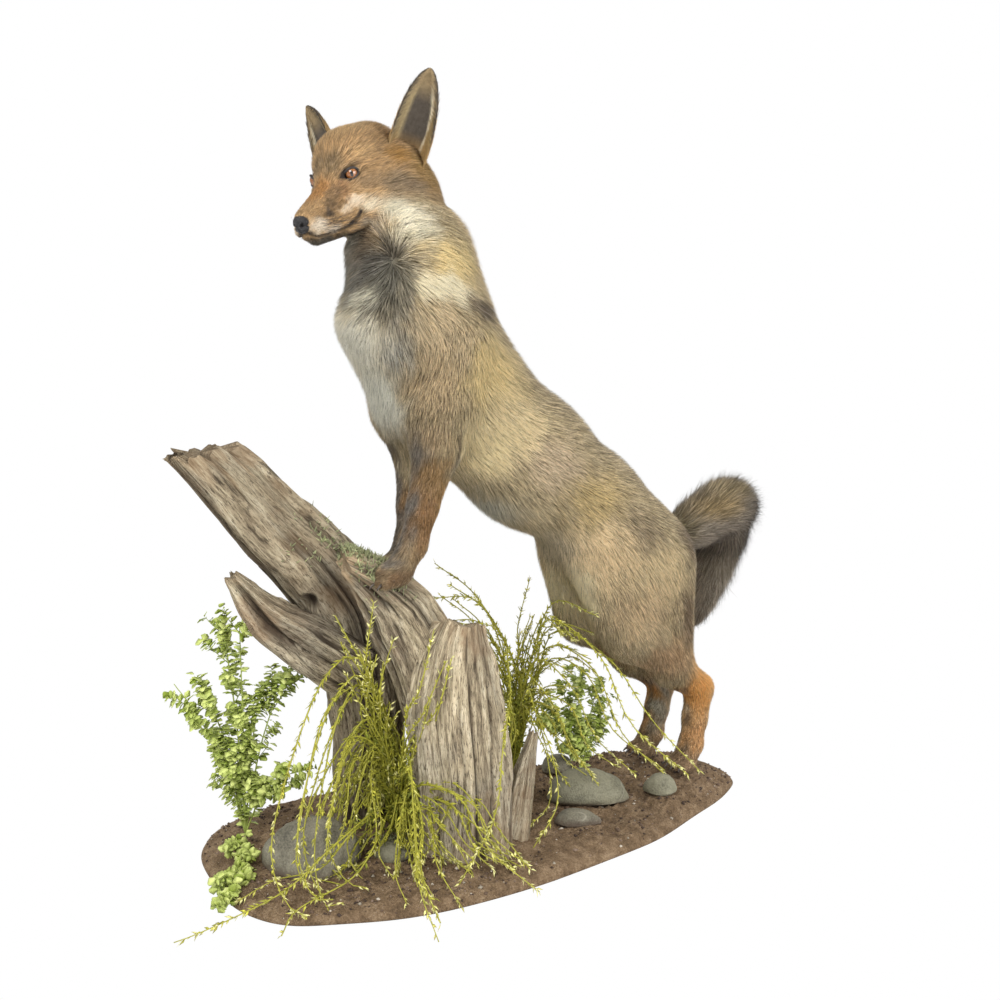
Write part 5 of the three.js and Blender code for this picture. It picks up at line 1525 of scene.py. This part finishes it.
def fan_out(count, start, stop, reach, up, sag, seed):
    """Knots of strands that rise and droop again, spread from start to stop in degrees."""
    strands = []
    for i in range(count):
        lean = math.radians(start + (stop - start) * (i + lucky(seed + i)) / count)
        size = 0.75 + 0.5 * lucky(seed + 31 + i)
        ahead = 60 * (lucky(seed + 67 + i) - 0.3)
        side, rise = math.sin(lean) * reach * size, up * size * math.cos(lean * 0.6)
        strands.append(
            [
                [side * 0.25, ahead * 0.2, rise * 0.55], [side * 0.65, ahead * 0.6, rise],
                [side, ahead, rise * (1 - sag)],
            ]
        )
    return strands


plastic = Finish("soft_plastic_leaf", roughness=0.55, Specular_IOR_Level=0.35)
plastic.wear(plastic.mix(0.4, plastic.read("tone"), plastic.noise(240, detail=2), "OVERLAY"))


GREEN, OLIVE, PALE = np.array([[0.2, 0.225, 0.025], [0.4, 0.38, 0.045], [0.7, 0.66, 0.28]])
LIME, FRESH, BARK = np.array([[0.25, 0.33, 0.04], [0.66, 0.72, 0.24], [0.3, 0.36, 0.08]])


def grass(name, root, strands, node, seed, fill):
    """A clump of strands, each a thin wire set with needle leaves that lean to its tip.
    Thinner strands of the clump's own kind fill in between the wires of the solid."""
    draw = np.random.default_rng(seed)
    root = np.array(root, float)
    extra = []
    for _ in range(fill):
        knots = np.array(strands[draw.integers(len(strands))], float)
        knots = knots * draw.uniform(0.45, 0.92)
        knots = spun(knots, draw.uniform(-0.28, 0.28)) + draw.normal(0, 5, knots.shape)
        extra.append(np.maximum(knots, [-400, -400, -14]))
    curves, needles = [], []
    for k, knots in enumerate([*strands, *extra]):
        curve, length = stem_points(root, knots, 28)
        curves.append(curve)
        pairs = int(length / (2.7 if k < len(strands) else 4.0))
        place = np.sort(draw.uniform(0.06, 1.0, pairs)) * (len(curve) - 1)
        i = np.minimum(place.astype(int), len(curve) - 2)
        at = curve[i] + (place - i)[:, None] * (curve[i + 1] - curve[i])
        ahead = unit(curve[i + 1] - curve[i])
        out = fold(draw.normal(size=at.shape), ahead)
        needles.append((at, unit(ahead + 0.75 * out), place / len(curve), draw.uniform(6, 12, pairs)))
    wire_points, wire_faces = wires(curves, 1.25, 0.6, 4)
    at, way, along, length = (np.concatenate([n[i] for n in needles]) for i in range(4))
    up = fold(draw.normal(size=at.shape) + [0, 0, 1], way)
    short = length * (1 - 0.3 * along)
    points, faces = blades(at, way, up, short, np.full(len(at), 1.2), [(0.42, 1.0)], 0.35)
    tone = lay(GREEN, smooth(along + 0.2 * draw.normal(size=len(at)), 0.1, 0.6), OLIVE)
    tone = lay(tone, smooth(along + 0.12 * draw.normal(size=len(at)), 0.7, 1.0), PALE)
    tone = tone * draw.lognormal(0, 0.2, len(at))[:, None]
    lots = [(wire_points, wire_faces, OLIVE * 0.8), (points, faces, np.repeat(tone, 6, axis=0))]
    return joined_piece(name, lots, plastic.material, "artificial_leaf", [node])


GRASS_FRONT = [
    [[-32, 20, 187], [-76, 50, 180], [-111, 125, 56], [-96, 165, 4], [-69, 185, -8]],
    [[-14, 30, 38], [-48, 128, 40], [-90, 160, 8], [-138, 190, -8], [-182, 213, -19]],
    [[-14, 15, 86], [-47, 52, 120], [-55, 128, 64], [-58, 140, 28]],
    [[16, 60, 100], [26, 120, 62], [36, 180, 20], [56, 212, -18]],
    [[11, 50, 135], [30, 90, 182], [45, 96, 244]],
    [[-21, 12, 107], [-31, 40, 188], [-20, 60, 266]],
    [[-7, 12, 82], [-19, 28, 158], [-60, 60, 252]],
    [[19, 60, 68], [50, 100, 85], [76, 122, 76], [102, 138, 35], [149, 150, 0]],
]
GRASS_BACK = [
    [[2, 10, 100], [-37, 50, 228], [-107, 80, 242]],
    [[8, 10, 130], [-43, 30, 234], [-96, 50, 281]],
    [[8, 10, 161], [8, 20, 199], [23, 25, 260]],
    [[24, 10, 146], [50, 60, 233], [98, 110, 226]],
    [[25, 30, 135], [43, 80, 216], [100, 140, 184], [130, 190, 119], [189, 218, 70]],
    [[24, 10, 114], [50, 60, 180], [95, 90, 169]],
    [[-1, 50, 112], [-8, 150, 196], [-4, 228, 160], [-12, 290, 125], [-20, 312, 60], [-55, 335, 1]],
]
front_strands = GRASS_FRONT + fan_out(3, -50, -5, 130, 150, 0.5, 3)
back_strands = GRASS_BACK + fan_out(2, -18, 25, 90, 180, 0.2, 11)
grass("grass_front_needled", (15, -181, 24), front_strands, "grass_front", 91, 126)
grass("grass_back_needled", (-93, 23, 26), back_strands, "grass_back", 92, 62)


def sprig(name, root, tips, others, node, seed, size):
    """A leafy sprig: wires that arch out to tips of (sideways, up), side twigs, and rounded leaves
    that grow denser towards the ends, each of a random tone between lime and a fresher green."""
    draw = np.random.default_rng(seed)
    root = np.array(root, float)
    knots = []
    for i, (side, up) in enumerate(tips):
        ahead = 40 * (lucky(i + 5) - 0.5)
        knots.append(
            [[side * 0.3, ahead * 0.3, up * 0.45], [side * 0.7, ahead * 0.7, up * 0.8], [side, ahead, up]]
        )
    curves = [stem_points(root, k)[0] for k in [*knots, *others]]
    twigs = []
    for curve in curves:
        for _ in range(TWIGS_ON_WIRE):
            i = draw.integers(8, 38)
            ahead = unit(curve[min(i + 1, 39)] - curve[i])
            out = unit(ahead + 0.9 * fold(draw.normal(size=(1, 3)), ahead[None])[0])
            t = np.linspace(0, 1, 40)[:, None]
            twig = curve[i] + t * out * draw.uniform(14, 38) + 5 * t * t * ahead
            twig[:, 2] = np.maximum(twig[:, 2], LOWEST_TWIG)
            twigs.append(twig)
    lots = [(*wires(curves, 1.1, 0.5), BARK), (*wires([twig[::5] for twig in twigs], 0.6, 0.35, 4), BARK)]
    every = np.stack([*curves, *twigs])
    weight = np.array([1.6] * len(curves) + [1.0] * len(twigs))
    count = LEAVES_ON_WIRE * len(curves)
    which = draw.choice(len(every), count, p=weight / weight.sum())
    i = np.clip((draw.beta(1.7, 1.0, count) * 39).astype(int), 4, 38)
    at = every[which, i]
    ahead = unit(every[which, i + 1] - at)
    out = fold(draw.normal(size=at.shape), ahead)
    way = unit(0.35 * ahead + out)
    way[:, 2] = np.maximum(way[:, 2], -at[:, 2] / 18)
    up = fold(ahead + 0.5 * draw.normal(size=at.shape) + [0, 0, 0.5], way)
    outline = [(0.04, 0.3), (0.5, 1.0), (0.96, 0.35)]
    length = draw.uniform(0.7, 1.15, count) * size
    points, faces = blades(at, way, up, length, 0.42 * length, outline, cup=0.25)
    tone = lay(LIME, draw.beta(1.6, 1.6, count), FRESH)
    lots.append((points, faces, np.repeat(tone, 14, axis=0)))
    return joined_piece(name, lots, plastic.material, "artificial_leaf", [node])


LEFT_TIPS = [
    (1, 236), (-19, 216), (-29, 234), (-74, 166), (-53, 172), (52, 190), (18, 164), (53, 69), (-39, 92),
]
RIGHT_TIPS = [(-49, 67), (-55, 92), (-30, 107), (-12, 130), (22, 116), (29, 67)]
TRAILING = [[10, 40, 6], [15, 90, -3], [22, 150, -7]]
sprig("sprig_left_leaves", (-79, -328, 24), LEFT_TIPS, [TRAILING], "sprig_left", 93, 10.0)
sprig("sprig_right_leaves", (-58, 111, 30), RIGHT_TIPS, [], "sprig_right", 94, 9.0)


# ------------------------------------------------------------------ rootlets
# Fine dry roots, tangled in the dark gap between the foot of the slab and the stump.
draw = np.random.default_rng(97)
tangle = []
for _ in range(46):
    start = np.array([20, -168, 26]) + draw.normal(0, 1, 3) * [10, 8, 3]
    end = start + draw.normal(0, 1, 3) * [9, 8, 20] + [0, 0, 78]
    t = np.linspace(0, 1, 26)[:, None]
    curl = 6 * np.sin(t * draw.uniform(6, 16, 3) + draw.uniform(0, 6, 3)) * draw.uniform(0.4, 1.2, 3)
    tangle.append(start + t * (end - start) + curl * np.sin(np.pi * t) ** 0.5)
points, faces = wires(tangle, 0.75, 0.3, 4)
root_fibre = Finish("dry_rootlets", roughness=0.9)
root_fibre.wear(root_fibre.ramp(root_fibre.noise(60), (0.35, (0.1, 0.07, 0.045)), (0.7, (0.42, 0.34, 0.23))))
piece("rootlets", points, faces, root_fibre.material, "weathered_wood")


# ------------------------------------------------------------------ floor, lights and camera
# A pale floor and background that the camera sees as white, large soft key, fill, front and rim
# lights, and a camera level with the fox's ribs at its left front.


stage_mesh = bpy.data.meshes.new("floor")
FLOOR_HALF = 6.0
stage_corners = [(x * FLOOR_HALF, y * FLOOR_HALF, 0) for x, y in ((-1, -1), (1, -1), (1, 1), (-1, 1))]
stage_mesh.from_pydata(stage_corners, [], [(0, 1, 2, 3)])
floor = bpy.data.objects.new("floor", stage_mesh)
bpy.context.scene.collection.objects.link(floor)
floor_finish = Finish("floor", roughness=0.9)
floor_finish.surface.inputs["Base Color"].default_value = (0.82, 0.82, 0.82, 1)


def white_to_camera(tree, surface, output):
    """Mixes a surface or background with white light, seen only by camera and transmission rays."""
    ray = tree.nodes.new("ShaderNodeLightPath")
    seen = tree.nodes.new("ShaderNodeMath")
    seen.operation = "MAXIMUM"
    tree.links.new(ray.outputs["Is Camera Ray"], seen.inputs[0])
    tree.links.new(ray.outputs["Is Transmission Ray"], seen.inputs[1])
    white = tree.nodes.new("ShaderNodeEmission")
    white.inputs["Strength"].default_value = 1.0
    both = tree.nodes.new("ShaderNodeMixShader")
    tree.links.new(seen.outputs[0], both.inputs[0])
    tree.links.new(surface, both.inputs[1])
    tree.links.new(white.outputs[0], both.inputs[2])
    tree.links.new(both.outputs[0], output)


output = floor_finish.tree.nodes["Material Output"]
white_to_camera(floor_finish.tree, floor_finish.surface.outputs[0], output.inputs["Surface"])
stage_mesh.materials.append(floor_finish.material)

world = bpy.data.worlds.new("studio")
world.use_nodes = True
bpy.context.scene.world = world
air = world.node_tree
air.nodes["Background"].inputs["Color"].default_value = (1, 1, 1, 1)
air.nodes["Background"].inputs["Strength"].default_value = 0.5
white_to_camera(air, air.nodes["Background"].outputs[0], air.nodes["World Output"].inputs["Surface"])

middle = Vector((HOME + [0, -60, 400]) / 1000)
for name, place, power, size in (
    ("key", (2.1, -2.1, 2.1), 88, 1.8),
    ("fill", (2.7, 1.5, 1.0), 88, 2.0),
    ("front", (-0.4, -2.9, 1.3), 34, 1.6),
    ("rim", (-2.2, 1.0, 2.0), 40, 1.6),
):
    lamp = bpy.data.lights.new(name, "AREA")
    lamp.energy, lamp.size = power, size
    holder = bpy.data.objects.new(name, lamp)
    holder.location = middle + Vector(place)
    holder.rotation_euler = (-Vector(place)).to_track_quat("-Z", "Y").to_euler()
    bpy.context.scene.collection.objects.link(holder)

lens = bpy.data.cameras.new("camera")
lens.lens, lens.sensor_width, lens.clip_start = 36, 36, 0.05
camera = bpy.data.objects.new("camera", lens)
camera.location = Vector((HOME + [1021.4, -611.9, 450.0]) / 1000)
level, dip = np.array([-0.875, 0.485, 0.0]), math.radians(3)
ahead = unit(level) * math.cos(dip) - np.array([0, 0, math.sin(dip)])
camera.rotation_euler = Vector(ahead).to_track_quat("-Z", "Y").to_euler()
bpy.context.scene.collection.objects.link(camera)
bpy.context.scene.camera = camera
bpy.context.scene.view_settings.view_transform = "Standard"
